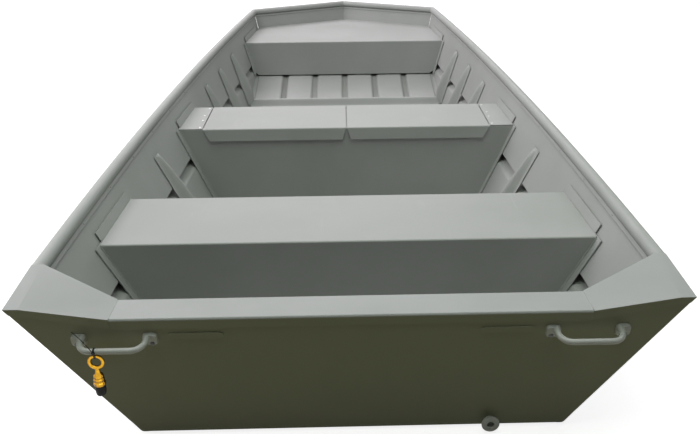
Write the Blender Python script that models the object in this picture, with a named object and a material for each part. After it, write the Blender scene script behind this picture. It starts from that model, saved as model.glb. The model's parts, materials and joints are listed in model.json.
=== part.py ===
"""Flat-bottomed aluminium jon boat, standing on its bottom strakes.

+Y points to the bow, +X to starboard and +Z up. The origin is on the floor, on the
centreline, where the transom's inner plane meets the bottom plating.
Every sheet is folded or pressed from plate of one thickness; pieces that touch keep
a small gap, SEAT_GAP, between them.
"""
import math

import bmesh
import bpy
from mathutils import Matrix, Vector

# Plate and gaps
SHEET = 0.003
SEAT_GAP = 0.0003
SIDE_GAP = 0.0007

# Hull lines
HULL_LENGTH = 3.975
HALF_BOTTOM = 0.610
BOTTOM_TAPER = 0.018
TAPER_START = 2.05
HALF_BEAM_STERN = 0.862
HALF_BEAM_BOW = 0.641
BEAM_POWER = 1.85
SEAT_HEIGHT = 0.393
SHEER_STERN = SEAT_HEIGHT + 0.089
SHEER_MIDDLE = SEAT_HEIGHT + 0.107
SHEER_BOW = SEAT_HEIGHT + 0.113
RISE_START = 2.05
BOW_RISE = 0.158
CHINE_RADIUS = 0.010
CHINE_LAP = 0.012
STATION = 0.12

# Pressed strakes under the bottom
STRAKE_DEPTH = 0.012
STRAKE_COUNT = 5
STRAKE_PITCH = 0.199
STRAKE_HALF_MOUTH = 0.028
STRAKE_HALF_FLAT = 0.010
STRAKE_FADE = 0.10

# Long bead pressed into each side
BEAD_STERN_HEIGHT = SEAT_HEIGHT - 0.113
BEAD_FALL = 0.010
BEAD_ABOVE_CHINE = 0.078
BEAD_TURN = 0.030
BEAD_DEPTH = 0.034
BEAD_WIDTH = 0.055
BEAD_SHAPE = ((1.0, 0.0), (0.62, 0.62), (0.30, 1.0), (0.12, 0.88), (0.0, 0.0))
BEAD_FADE = 0.12

# Transom
TRANSOM_SLOPE = 0.2106
CAP_HEIGHT = SEAT_HEIGHT + 0.054
CAP_HALF_LENGTH = 0.622
CAP_BOX_DEPTH = 0.0035
CAP_SKIRT = 0.032
CORNER_REACH = 0.098
CORNER_TIP_RISE = 0.005
CORNER_TIP_OUT = 0.016
CORNER_OUT = 0.010
CORNER_FLANGE = 0.030
CORNER_LAP = 0.006
PAD_FROM_CAP_END = 0.215
PAD_LENGTH = 0.145
PAD_HEIGHT = 0.020
PAD_THICKNESS = 0.003
PAD_Z = CAP_HEIGHT - 0.059

# Bow panel
BOW_POINT = 0.320
BOW_SLOPE = 0.245

# Gunwale extrusion
RAIL_RADIUS = 0.0215
RAIL_OFFSET = 0.002
RAIL_LEG = 0.033
RAIL_LEG_THICKNESS = 0.0025
RAIL_SLOT_DEPTH = 0.012
RAIL_STATION = 0.12

# Benches
STERN_BENCH_Y = 0.444
STERN_BENCH_DEPTH = 0.380
MIDDLE_BENCH_Y = 1.628
MIDDLE_BENCH_DEPTH = 0.345
BOW_BENCH_Y = 3.444
BOW_DECK_HEIGHT = SEAT_HEIGHT + 0.007
FLANGE_THICKNESS = 0.0035
FLANGE_HEIGHT = 0.028
FLANGE_REACH = 0.028
FLANGE_TUCK = 0.020
FLANGE_SETBACK = 0.030
BEND_RADIUS = 0.0055
BEND_STEPS = 3
BENCH_CORNER = 0.020
BOW_BENCH_LIFT = 0.008
BENCH_STEPS = 4

# Lockers and lids of the middle bench
END_PLATE_WIDTH = 0.090
LID_GAP = 0.005
LID_LIP = 0.055
LID_LIP_OUTER_BEVEL = 0.028
LID_LIP_INNER_BEVEL = 0.018
LID_BACK_LIP = 0.018
LOCKER_FLANGE = 0.025

# Piano hinge of each lid
PIN_RADIUS = 0.0022
PIN_GAP = 0.0003
LEAF = 0.0015
LEAF_LENGTH = 0.017
KNUCKLES = 11
KNUCKLE_GAP = 0.0005
HINGE_END_INSET = 0.020

# Ribs
AFT_RIB_Y = 1.265
FORE_RIB_Y = 2.330
FORE_RIB_PITCH = 0.355
FORE_RIB_COUNT = 3
RIB_HEIGHT = 0.036
RIB_HALF_FOOT = 0.042
RIB_HALF_BASE = 0.029
RIB_HALF_CROWN = 0.014
RIB_FLANGE = 0.0025
RIB_BELOW_SHEER = 0.092

# Transom handles
HANDLE_FROM_SIDE = 0.196
HANDLE_SPAN = 0.168
HANDLE_Z = CAP_HEIGHT - 0.057
HANDLE_STANDOFF = 0.055
HANDLE_RADIUS = 0.008
HANDLE_BEND = 0.034
FOOT_WIDTH = 0.038
FOOT_OUTWARD = 0.008
FOOT_HEIGHT = 0.036
FOOT_THICKNESS = 0.011
FOOT_DROP = 0.008

# Drain and its plug
DRAIN_FROM_CHINE = 0.218
DRAIN_Z = 0.034
DRAIN_RADIUS = 0.0125
DRAIN_BORE = 0.0100
DRAIN_OUT = 0.028
DRAIN_IN = 0.012
DRAIN_COLLAR_RADIUS = 0.026
DRAIN_COLLAR_LENGTH = 0.009
PLUG_FROM_HANDLE = 0.039
RING_RADIUS = 0.0172
RING_WIRE = 0.0048
NECK_LENGTH = 0.020
NECK_RADIUS = 0.0062
NUT_RADIUS = 0.0155
NUT_LENGTH = 0.032
RUBBER_RADIUS = 0.0130
RUBBER_LENGTH = 0.030
TIE_WIDTH = 0.0040
TIE_THICKNESS = 0.0014
TIE_TAIL = 0.085
PLUG_SLACK = 0.0015

# Bow eye
EYE_HALF_WIDTH = 0.022
EYE_REACH = 0.040
EYE_RADIUS = 0.005
EYE_BELOW_RAIL = 0.085
EYE_PLATE = 0.003


# Hull form

def sheer_half(y):
    """Half beam at the top edge of the side plating."""
    overhang = TRANSOM_SLOPE * (SHEER_STERN - STRAKE_DEPTH)
    t = max((y + overhang) / (HULL_LENGTH + overhang), 0.0)
    return HALF_BEAM_STERN - (HALF_BEAM_STERN - HALF_BEAM_BOW) * t ** BEAM_POWER


def chine_half(y):
    """Half width of the bottom at the sharp corner that the chine rounds off."""
    t = max((y - TAPER_START) / (HULL_LENGTH - TAPER_START), 0.0)
    return HALF_BOTTOM - BOTTOM_TAPER * t * t


def keel_z(y):
    """Height of the bottom plating's outer face: flat, then a parabola, then straight."""
    run = BOW_BENCH_Y - RISE_START
    if y <= RISE_START:
        return STRAKE_DEPTH
    if y <= BOW_BENCH_Y:
        return STRAKE_DEPTH + BOW_RISE * ((y - RISE_START) / run) ** 2
    return STRAKE_DEPTH + BOW_RISE + 2 * BOW_RISE / run * (y - BOW_BENCH_Y)


def sheer_z(y):
    """Height of the side plating's top edge, a parabola through stern, middle and bow."""
    t = min(max(y / HULL_LENGTH, 0.0), 1.0)
    return (SHEER_STERN * (1 - t) * (1 - 2 * t) + SHEER_MIDDLE * 4 * t * (1 - t)
            + SHEER_BOW * t * (2 * t - 1))


def flare(y):
    """Angle of the side from upright."""
    return math.atan((sheer_half(y) - chine_half(y)) / (sheer_z(y) - keel_z(y)))


def side_half(y, z, inset=0.0):
    """Half width at a height, on a face that lies inset inside the side's outer face."""
    lean = flare(y)
    return chine_half(y) + (z - keel_z(y)) * math.tan(lean) - inset / math.cos(lean)


def handle_x():
    """Distance of each transom handle's middle from the centreline."""
    return side_half(0.0, HANDLE_Z) - HANDLE_FROM_SIDE


def drain_x():
    return HALF_BOTTOM - DRAIN_FROM_CHINE


def side_point(y, s, out):
    """Starboard point, s up the side from the chine corner and out beyond its face."""
    lean = flare(y)
    x = chine_half(y) + s * math.sin(lean) + out * math.cos(lean)
    z = keel_z(y) + s * math.cos(lean) - out * math.sin(lean)
    return Vector((x, y, z))


def transom_y(z, out=0.0):
    """Plane of the side plating's stern ends, or a plane that lies out behind it."""
    return -(z - STRAKE_DEPTH) * TRANSOM_SLOPE - out * math.hypot(1.0, TRANSOM_SLOPE)


def bow_y(x, z, inset=0.0):
    """Outer face of the vee-shaped bow panel, or a face inset behind it."""
    fall = BOW_POINT / HALF_BEAM_BOW
    steep = math.sqrt(1 + fall ** 2 + BOW_SLOPE ** 2)
    return (HULL_LENGTH + BOW_POINT - fall * abs(x)
            - BOW_SLOPE * (SHEER_BOW - z) - inset * steep)


def meet_bow(point_at, inset):
    """Last station of a line that runs forward until it meets the bow panel."""
    y = HULL_LENGTH
    for _ in range(12):
        p = point_at(y)
        y = bow_y(p.x, p.z, inset)
    return y


def fade(distance, length):
    """Smooth growth from 0 to 1 over a length."""
    t = min(max(distance / length, 0.0), 1.0)
    return t * t * (3 - 2 * t)


def rounded(corners, radius):
    """A polyline of pairs with an arc of that radius at each of its inner corners."""
    path = [Vector(corners[0])]
    for before, corner, after in zip(corners, corners[1:], corners[2:]):
        corner = Vector(corner)
        back = (Vector(before) - corner).normalized()
        ahead = (Vector(after) - corner).normalized()
        half_angle = back.angle(ahead) / 2
        middle = (back + ahead).normalized()
        centre = corner + middle * radius / math.sin(half_angle)
        start = corner + back * radius / math.tan(half_angle) - centre
        end = corner + ahead * radius / math.tan(half_angle) - centre
        for k in range(BEND_STEPS + 1):
            spoke = start.lerp(end, k / BEND_STEPS).normalized()
            path.append(centre + spoke * radius)
    path.append(Vector(corners[-1]))
    return path


def stations(start, end, step):
    """Evenly spaced stations between two ends, both included."""
    count = max(1, round((end - start) / step))
    return [start + (end - start) * i / count for i in range(count + 1)]


# Mesh helpers

def material(name, colour, roughness, metallic):
    mat = bpy.data.materials.new(name)
    mat.use_nodes = True
    shader = mat.node_tree.nodes["Principled BSDF"]
    shader.inputs["Base Color"].default_value = (*colour, 1.0)
    shader.inputs["Roughness"].default_value = roughness
    shader.inputs["Metallic"].default_value = metallic
    return mat


def add_object(name, mesh, mat):
    mesh.materials.append(mat)
    obj = bpy.data.objects.new(name, mesh)
    bpy.context.scene.collection.objects.link(obj)
    return obj


def solidify(obj, thickness, offset=-1.0):
    mod = obj.modifiers.new("Plate", "SOLIDIFY")
    mod.thickness = thickness
    mod.offset = offset
    mod.use_even_offset = True
    mod.use_quality_normals = True


def folded_sheet(name, rows, outward, mat, thickness=SHEET, keep=None):
    """A grid of points is the plate's outer face; its thickness lies behind that face.

    outward is a rough outward direction of the first kept cell, and keep(row, column)
    says which cells the plate has.
    """
    mesh = bpy.data.meshes.new(name)
    bm = bmesh.new()
    verts = [[bm.verts.new(p) for p in row] for row in rows]
    faces = []
    for i in range(len(rows) - 1):
        for j in range(len(rows[0]) - 1):
            if keep is None or keep(i, j):
                corners = (verts[i][j], verts[i][j + 1], verts[i + 1][j + 1], verts[i + 1][j])
                faces.append(bm.faces.new(corners))
    faces[0].normal_update()
    if faces[0].normal.dot(Vector(outward)) < 0:
        bmesh.ops.reverse_faces(bm, faces=faces)
    loose = [v for v in bm.verts if not v.link_faces]
    bmesh.ops.delete(bm, geom=loose, context="VERTS")
    bm.to_mesh(mesh)
    bm.free()
    obj = add_object(name, mesh, mat)
    solidify(obj, thickness)
    return obj


def loft(name, sections, mat, smooth=0.0):
    """Closed solid through loops of points, capped at both ends."""
    mesh = bpy.data.meshes.new(name)
    bm = bmesh.new()
    rings = [[bm.verts.new(p) for p in section] for section in sections]
    count = len(sections[0])
    for a, b in zip(rings, rings[1:]):
        for k in range(count):
            n = (k + 1) % count
            bm.faces.new((a[k], a[n], b[n], b[k]))
    bm.faces.new(list(reversed(rings[0])))
    bm.faces.new(rings[-1])
    bmesh.ops.recalc_face_normals(bm, faces=bm.faces)
    bm.to_mesh(mesh)
    bm.free()
    obj = add_object(name, mesh, mat)
    if smooth:
        mesh.shade_smooth()
        mesh.set_sharp_from_angle(angle=math.radians(smooth))
    return obj


def flat_plate(name, outline, behind, mat):
    """Plate cut from sheet: an outline of its outer face, thickened towards behind."""
    shift = Vector(behind).normalized() * SHEET
    return loft(name, [outline, [Vector(p) + shift for p in outline]], mat)


def cut_to_plane(section, direction, plane_point, plane_normal):
    """Slides each point of a section along a direction on to a plane."""
    along = direction.dot(plane_normal)
    return [p + direction * ((plane_point - p).dot(plane_normal) / along) for p in section]


def tube(name, path, radius, mat, sides=12, closed=False):
    """Round bar bent along a path, as a curve with a bevel made into a mesh."""
    curve = bpy.data.curves.new(name, "CURVE")
    curve.dimensions = "3D"
    curve.bevel_depth = radius
    curve.bevel_resolution = sides // 4 - 1
    curve.use_fill_caps = True
    spline = curve.splines.new("POLY")
    spline.points.add(len(path) - 1)
    for point, co in zip(spline.points, path):
        point.co = (*co, 1.0)
    spline.use_cyclic_u = closed
    holder = bpy.data.objects.new(name, curve)
    bpy.context.scene.collection.objects.link(holder)
    mesh = bpy.data.meshes.new_from_object(holder)
    bpy.data.objects.remove(holder)
    mesh.name = name
    mesh.shade_smooth()
    return add_object(name, mesh, mat)


def turned(name, profile, centre, axis, mat, sides=16):
    """Solid of revolution: (distance along axis, radius) pairs, ends closed flat."""
    axis = Vector(axis).normalized()
    across = axis.orthogonal().normalized()
    third = axis.cross(across)
    sections = []
    for along, radius in profile:
        ring = []
        for k in range(sides):
            a = 2 * math.pi * k / sides
            spoke = across * math.cos(a) + third * math.sin(a)
            ring.append(Vector(centre) + axis * along + spoke * radius)
        sections.append(ring)
    return loft(name, sections, mat, smooth=40)


def unite(target, piece):
    """Welds a piece to a target, leaving one object."""
    join = target.modifiers.new("Weld", "BOOLEAN")
    join.operation = "UNION"
    join.solver = "EXACT"
    join.object = piece
    piece.hide_render = True
    piece.display_type = "WIRE"


def bore(target, cutter):
    """Cuts a hole with a cutter that stays out of the model."""
    hole = target.modifiers.new("Bore", "BOOLEAN")
    hole.operation = "DIFFERENCE"
    hole.solver = "EXACT"
    hole.object = cutter
    cutter.hide_render = True
    cutter.display_type = "WIRE"


def mirrored(points, side):
    return [Vector((side * p[0], p[1], p[2])) for p in points]


# Hull plating

def strake_columns():
    """Pairs of x and pressed depth across the bottom, from port to starboard."""
    columns = []
    first = -(STRAKE_COUNT - 1) / 2
    for k in range(STRAKE_COUNT):
        centre = (first + k) * STRAKE_PITCH
        columns += [(centre - STRAKE_HALF_MOUTH, 0.0), (centre - STRAKE_HALF_FLAT, 1.0),
                    (centre + STRAKE_HALF_FLAT, 1.0), (centre + STRAKE_HALF_MOUTH, 0.0)]
    return columns


def chine_tangent(y):
    """Length that the chine radius takes from the corner."""
    return CHINE_RADIUS / math.tan((math.pi / 2 + flare(y)) / 2)


def bottom_edge(y):
    """Half width of the bottom plate, which ends at the seam beside the chine."""
    return chine_half(y) - chine_tangent(y) - CHINE_LAP - SEAT_GAP


def make_bottom(paint):
    vee_start = BOW_BENCH_Y + 0.11
    rows = []
    lengthwise = [0.0, STRAKE_FADE / 2, STRAKE_FADE, RISE_START / 2]
    lengthwise += stations(RISE_START, vee_start, STATION)

    def row_at(place):
        row = []
        edge = [(-1.0, 0.0)] + [(x, d) for x, d in strake_columns()] + [(1.0, 0.0)]
        for x, pressed in edge:
            row.append(place(x, pressed))
        return row

    def plain(y):
        def place(x, pressed):
            half = bottom_edge(y)
            depth = pressed * STRAKE_DEPTH * fade(y, STRAKE_FADE)
            across = x * half if abs(x) == 1.0 else x
            return Vector((across, y, keel_z(y) - depth))
        return place

    def pointed(t):
        def place(x, pressed):
            def forward(y):
                across = x * bottom_edge(y) if abs(x) == 1.0 else x
                return Vector((across, y, keel_z(y)))
            end = meet_bow(forward, SHEET + SEAT_GAP)
            y = vee_start + (end - vee_start) * t
            p = forward(y)
            p.z -= pressed * STRAKE_DEPTH * fade(1.0 - t, 0.5)
            return p
        return place

    for y in lengthwise:
        rows.append(row_at(plain(y)))
    for t in (0.25, 0.5, 0.75, 1.0):
        rows.append(row_at(pointed(t)))
    folded_sheet("hull_bottom", rows, (0, 0, -1), paint)


def bead_top(y):
    """Upper break of the side's bead, which turns up to keep clear of the rising chine."""
    falling = BEAD_STERN_HEIGHT - BEAD_FALL * y
    short = keel_z(y) + BEAD_ABOVE_CHINE - falling
    if short >= BEAD_TURN:
        return falling + short
    return falling + max(short + BEAD_TURN, 0.0) ** 2 / (4 * BEAD_TURN)


def side_section(y, bead):
    """Outer face of a side at a station, from the seam under the chine to the top."""
    lean = flare(y)
    tangent = chine_tangent(y)
    corner_x = chine_half(y)
    base = keel_z(y)
    points = [Vector((corner_x - tangent - CHINE_LAP, y, base))]
    centre = Vector((corner_x - tangent, y, base + CHINE_RADIUS))
    for k in range(4):
        a = -math.pi / 2 + (math.pi / 2 - lean) * k / 3
        points.append(centre + CHINE_RADIUS * Vector((math.cos(a), 0, math.sin(a))))
    top = (bead_top(y) - base) / math.cos(lean)
    depth = BEAD_DEPTH * bead
    points.append(side_point(y, (top - BEAD_WIDTH + tangent) / 2, 0.0))
    for below, share in BEAD_SHAPE:
        points.append(side_point(y, top - below * BEAD_WIDTH, share * depth))
    full = (sheer_z(y) - base) / math.cos(lean)
    for share in (1 / 3, 2 / 3, 1.0):
        points.append(side_point(y, top + (full - top) * share, 0.0))
    return points


def make_sides(paint):
    ends = [side_section(0.0, 0.0), side_section(HULL_LENGTH, 0.0)]
    for side, name in ((-1, "side_port"), (1, "side_starboard")):
        rows = []
        stern = [Vector((0, 0, 0))] * len(ends[0])
        for k, start in enumerate(ends[0]):
            y = transom_y(start.z)
            for _ in range(6):
                y = transom_y(side_section(y, 0.0)[k].z)
            stern[k] = side_section(y, 0.0)[k]
        rows.append(stern)
        for y in stations(STATION / 2, HULL_LENGTH - STATION, STATION):
            grown = fade(y, BEAD_FADE) * fade(HULL_LENGTH - STATION / 2 - y, BEAD_FADE)
            rows.append(side_section(y, grown))
        bow = []
        for k in range(len(ends[1])):
            y = meet_bow(lambda at, k=k: side_section(at, 0.0)[k], SHEET + SEAT_GAP)
            bow.append(side_section(y, 0.0)[k])
        rows.append(bow)
        rows = [mirrored(row, side) for row in rows]
        folded_sheet(name, rows, (side * 0.3, 0, -1), paint)


def make_bow_panel(paint):
    """Vee-shaped panel that closes the bow, covering the ends of sides and bottom."""
    def lower_corner(y):
        return Vector((chine_half(y), y, keel_z(y)))
    corner_y = meet_bow(lower_corner, 0.0)
    corner = lower_corner(corner_y)
    tip_y = meet_bow(lambda y: Vector((0, y, keel_z(y))), 0.0)
    tip = Vector((0, tip_y, keel_z(tip_y)))
    top_z = SHEER_BOW
    top_corner = Vector((HALF_BEAM_BOW, bow_y(HALF_BEAM_BOW, top_z), top_z))
    top_tip = Vector((0, bow_y(0, top_z), top_z))
    rows = []
    for t in (0.0, 0.5, 1.0):
        outer = corner.lerp(top_corner, t)
        middle = tip.lerp(top_tip, t)
        half = [outer.lerp(middle, u) for u in (0.0, 0.5, 1.0)]
        rows.append(mirrored(half, -1) + list(reversed(half[:-1])))
    folded_sheet("bow_panel", rows, (0, 1, 0), paint)


# Gunwale and bow rails

def rail_section(edge, out, lean):
    """Rail profile round the plate's top edge: slotted round bead with an inner leg."""
    upright = out * math.sin(lean) + Vector((0, 0, math.cos(lean)))
    across = out * math.cos(lean) - Vector((0, 0, math.sin(lean)))
    inner = -(SHEET + SIDE_GAP)
    leg = inner - RAIL_LEG_THICKNESS
    flat = []
    turn = 360 - math.degrees(math.acos((leg - RAIL_OFFSET) / RAIL_RADIUS))
    for k in range(14):
        a = math.radians(-70 + (turn + 70) * k / 13)
        flat.append((RAIL_OFFSET + RAIL_RADIUS * math.cos(a), RAIL_RADIUS * math.sin(a)))
    flat += [(leg, -RAIL_LEG), (inner, -RAIL_LEG), (inner, SEAT_GAP),
             (SIDE_GAP, SEAT_GAP), (SIDE_GAP, -RAIL_SLOT_DEPTH)]
    return [edge + across * a + upright * b for a, b in flat]


def make_rails(paint):
    rail_start = Vector((0, CORNER_REACH - CORNER_LAP, 0))
    stern_normal = Vector((0, 1, 0))
    bow_corner = Vector((HALF_BEAM_BOW, HULL_LENGTH, SHEER_BOW))
    bow_tip = Vector((0, HULL_LENGTH + BOW_POINT, SHEER_BOW))
    panel_run = (bow_tip - bow_corner).normalized()
    step = 0.01
    first = CORNER_REACH + 0.06

    def edge_run(y):
        """Direction of the plate's top edge just astern of a station."""
        return Vector((sheer_half(y) - sheer_half(y - step), step,
                       sheer_z(y) - sheer_z(y - step))).normalized()
    side_run = edge_run(HULL_LENGTH)
    mitre = (panel_run + side_run).normalized()
    mitre_back = bow_corner - mitre * SEAT_GAP / 2
    mitre_front = bow_corner + mitre * SEAT_GAP / 2
    sections = []
    for y in stations(first, HULL_LENGTH, RAIL_STATION):
        edge = Vector((sheer_half(y), y, sheer_z(y)))
        slope = (sheer_half(y + step) - sheer_half(y - step)) / (2 * step)
        out = Vector((1, -slope, 0)).normalized()
        sections.append(rail_section(edge, out, flare(y)))
    start = cut_to_plane(sections[0], edge_run(first), rail_start, stern_normal)
    sections[-1] = cut_to_plane(sections[-1], side_run, mitre_back, mitre)
    sections.insert(0, start)
    out = Vector((-panel_run.y, panel_run.x, 0)) * -1
    lean = math.atan(BOW_SLOPE * out.y)
    panel = rail_section(bow_corner, out, lean)
    mid_plane = Vector((1, 0, 0))
    bow_sections = [cut_to_plane(panel, panel_run, mitre_front, mitre),
                    cut_to_plane(panel, panel_run, mid_plane * SEAT_GAP / 2, mid_plane)]
    for side, word in ((-1, "port"), (1, "starboard")):
        loft("gunwale_" + word, [mirrored(s, side) for s in sections], paint, smooth=35)
        loft("bow_rail_" + word, [mirrored(s, side) for s in bow_sections], paint, smooth=35)


# Transom

def skirt_out():
    """Distance of the cap's skirt face behind the ends of the side plating."""
    return 2 * (SHEET + SEAT_GAP)


def cap_inner_y():
    """Bow edge of the transom cap, one plate and gap ahead of the inner panel."""
    return CAP_BOX_DEPTH + SEAT_GAP + SHEET


def make_transom(paint):
    out = SEAT_GAP + SHEET
    lean = math.atan(TRANSOM_SLOPE)
    inward = Vector((0, math.cos(lean), math.sin(lean)))
    plate_low = CAP_HEIGHT - BEND_RADIUS - SEAT_GAP - SHEET * math.sin(lean)
    tip, kink = corner_tip()
    corner_low = tip.z - SHEET - 4 * SEAT_GAP

    def on_face(x, z):
        return Vector((x, transom_y(z, out), z))
    tangent = chine_tangent(0.0)
    half = [on_face(HALF_BOTTOM - tangent, STRAKE_DEPTH)]
    for k in (1, 2, 3):
        a = -math.pi / 2 + (math.pi / 2 - flare(0.0)) * k / 3
        half.append(on_face(HALF_BOTTOM - tangent + CHINE_RADIUS * math.cos(a),
                            STRAKE_DEPTH + CHINE_RADIUS + CHINE_RADIUS * math.sin(a)))
    half.append(on_face(tip.x - 4 * SEAT_GAP, corner_low))
    half.append(on_face(kink.x, corner_low))
    half.append(on_face(CAP_HALF_LENGTH + SHEET, plate_low))
    outline = half + list(reversed(mirrored(half, -1)))
    skin = flat_plate("transom_skin", outline, inward, paint)

    face_y = CAP_BOX_DEPTH
    floor = STRAKE_DEPTH + SHEET + SEAT_GAP
    inset = SHEET + 2 * SEAT_GAP
    low = Vector((side_half(0, floor, inset) - CHINE_RADIUS, face_y, floor))
    turn = Vector((side_half(0, floor + CHINE_RADIUS, inset), face_y, floor + CHINE_RADIUS))
    high = Vector((side_half(0, plate_low, inset), face_y, plate_low))
    half = [low, turn, high]
    inner = flat_plate("transom_inner_panel", half + list(reversed(mirrored(half, -1))),
                       (0, -1, 0), paint)

    depth = DRAIN_OUT + DRAIN_IN
    for plate in (skin, inner):
        cutter = turned(plate.name + "_bore", [(-depth, DRAIN_RADIUS + SEAT_GAP),
                                               (depth, DRAIN_RADIUS + SEAT_GAP)],
                        (drain_x(), 0, DRAIN_Z), (0, 1, 0), paint)
        bore(plate, cutter)


def make_transom_cap(paint):
    back = skirt_out()
    skirt_z = CAP_HEIGHT - CAP_SKIRT
    front = cap_inner_y()
    fold = rounded([(transom_y(skirt_z, back), skirt_z), (transom_y(CAP_HEIGHT, back), CAP_HEIGHT),
                    (front, CAP_HEIGHT), (front, skirt_z)], BEND_RADIUS)
    rows = [[Vector((x, y, z)) for x in (-CAP_HALF_LENGTH, 0, CAP_HALF_LENGTH)]
            for y, z in fold]
    folded_sheet("transom_cap", rows, (0, -1, 0), paint)


def corner_tip():
    """Aft outer corner of a corner plate, and where its level strip starts to fall."""
    z = SHEER_STERN + CORNER_TIP_RISE
    y = transom_y(z, skirt_out())
    strip = RAIL_RADIUS + RAIL_OFFSET
    return (Vector((sheer_half(y) + CORNER_TIP_OUT, y, z)),
            Vector((sheer_half(y) - strip, y, z)))


def make_corner_plates(paint):
    """Plates from the cap up over the gunwale ends: a level strip, then a fall to the cap."""
    back = skirt_out()
    strip = RAIL_RADIUS + RAIL_OFFSET
    break_x = CAP_HALF_LENGTH + SEAT_GAP
    tip, kink = corner_tip()
    top = sheer_z(CORNER_REACH) + RAIL_RADIUS + SHEET + 2 * SEAT_GAP
    half = sheer_half(CORNER_REACH)
    outer_bow = Vector((half + CORNER_OUT, CORNER_REACH, top))
    kink_bow = Vector((half - strip, CORNER_REACH, top))
    inner_stern = Vector((break_x, transom_y(CAP_HEIGHT, back), CAP_HEIGHT))
    inner_bow = Vector((break_x, cap_inner_y(), CAP_HEIGHT))
    skirt = Vector((0, TRANSOM_SLOPE, -1)) * CAP_SKIRT
    flange = Vector((0, 0, -CORNER_FLANGE))
    nothing = Vector((0, 0, 0))
    reach = outer_bow.y - tip.y
    aft = (transom_y(tip.z) + SHEET - tip.y) / reach
    fore = (reach - CORNER_LAP - SHEET) / reach
    rows = [[nothing, tip + skirt * 0.6 + Vector((-CORNER_TIP_OUT * 0.7, 0, 0)),
             kink + skirt * 0.7, inner_stern + skirt]]
    for share in (0.0, aft, fore, 1.0):
        outer = tip.lerp(outer_bow, share)
        rows.append([outer + flange, outer, kink.lerp(kink_bow, share),
                     inner_stern.lerp(inner_bow, share)])
    present = {(2, 0)} | {(i, j) for i in range(4) for j in (1, 2)}
    for side, word in ((-1, "port"), (1, "starboard")):
        folded_sheet("corner_plate_" + word, [mirrored(row, side) for row in rows],
                     (0, -1, 0), paint, keep=lambda i, j: (i, j) in present)


def make_transom_pads(paint):
    """Low oblong pads on the transom, just under the cap's skirt."""
    lean = math.atan(TRANSOM_SLOPE)
    out = Vector((0, -math.cos(lean), -math.sin(lean)))
    up = Vector((0, -math.sin(lean), math.cos(lean)))
    face = SEAT_GAP + SHEET + SEAT_GAP
    radius = PAD_HEIGHT / 2
    for side, word in ((-1, "port"), (1, "starboard")):
        middle = CAP_HALF_LENGTH - PAD_FROM_CAP_END
        centre = Vector((side * middle, transom_y(PAD_Z, face), PAD_Z))
        outline = []
        for end in (1, -1):
            for k in range(7):
                a = math.radians(-90 + 30 * k) + (0 if end > 0 else math.pi)
                across = end * (PAD_LENGTH / 2 - radius) + radius * math.cos(a)
                outline.append(centre + Vector((across, 0, 0)) + up * radius * math.sin(a))
        loft("transom_pad_" + word, [outline, [p + out * PAD_THICKNESS for p in outline]], paint)


# Benches

def bench_inset(y):
    """Room at a bench's ends for the hull plate, the end flange and the flare."""
    lean = flare(y)
    return SHEET + SIDE_GAP + FLANGE_THICKNESS + SEAT_GAP + SHEET * math.sin(lean)


def cross_row(y, z, columns=2):
    half = side_half(y, z, bench_inset(y))
    return [Vector((half * (2 * k / columns - 1), y, z)) for k in range(columns + 1)]


def foot_rows(y, floor, columns=2):
    """Two rows at the foot of an upright plate, its corners cut off for the chine."""
    low = [Vector((p.x * (1 - BENCH_CORNER / chine_half(y)), y, floor))
           for p in cross_row(y, floor, columns)]
    return [low, cross_row(y, floor + BENCH_CORNER, columns)]


def floor_top(y):
    """Lowest height that clears the bottom plate's inner face at a station."""
    rise = (keel_z(y + 0.001) - keel_z(y)) / 0.001
    return keel_z(y) + SHEET * math.hypot(1.0, rise) + SEAT_GAP


def make_stern_bench(paint):
    back = STERN_BENCH_Y + STERN_BENCH_DEPTH
    front_foot = foot_rows(STERN_BENCH_Y, floor_top(STERN_BENCH_Y))
    back_foot = foot_rows(back, floor_top(back))
    fold = rounded([(STERN_BENCH_Y, front_foot[1][0].z), (STERN_BENCH_Y, SEAT_HEIGHT),
                    (back, SEAT_HEIGHT), (back, back_foot[1][0].z)], BEND_RADIUS)[1:-1]
    half = len(fold) // 2
    between = stations(fold[half - 1].x, fold[half].x, STERN_BENCH_DEPTH / BENCH_STEPS)[1:-1]
    fold[half:half] = [Vector((y, SEAT_HEIGHT)) for y in between]
    rows = front_foot + [cross_row(y, z) for y, z in fold] + list(reversed(back_foot))
    folded_sheet("stern_bench", rows, (0, -1, 0), paint)


def make_bow_bench(paint):
    """Upright face that turns over into the bow deck, cut to the vee of the bow."""
    clearance = SHEET + SEAT_GAP
    columns = 4
    floor = floor_top(BOW_BENCH_Y + SHEET) + BOW_BENCH_LIFT
    underside = BOW_DECK_HEIGHT - SHEET

    def edge(y):
        return Vector((side_half(y, BOW_DECK_HEIGHT, bench_inset(y)), y, underside))
    corner_y = meet_bow(edge, clearance)
    rows = foot_rows(BOW_BENCH_Y, floor, columns)
    fold = rounded([(BOW_BENCH_Y, rows[1][0].z), (BOW_BENCH_Y, BOW_DECK_HEIGHT),
                    (HULL_LENGTH, BOW_DECK_HEIGHT)], BEND_RADIUS)[1:-1]
    rows += [cross_row(y, z, columns) for y, z in fold]
    for t in (0.25, 0.5, 0.75, 1.0):
        row = []
        for k in range(columns + 1):
            u = 2 * k / columns - 1
            side_y = BOW_BENCH_Y + (corner_y - BOW_BENCH_Y) * t
            front_x = u * edge(corner_y).x
            front_y = bow_y(front_x, underside, clearance)
            y = BOW_BENCH_Y + (front_y - BOW_BENCH_Y) * t
            row.append(Vector((u * edge(side_y).x, y, BOW_DECK_HEIGHT)))
        rows.append(row)
    folded_sheet("bow_bench", rows, (0, -1, 0), paint)


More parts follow.
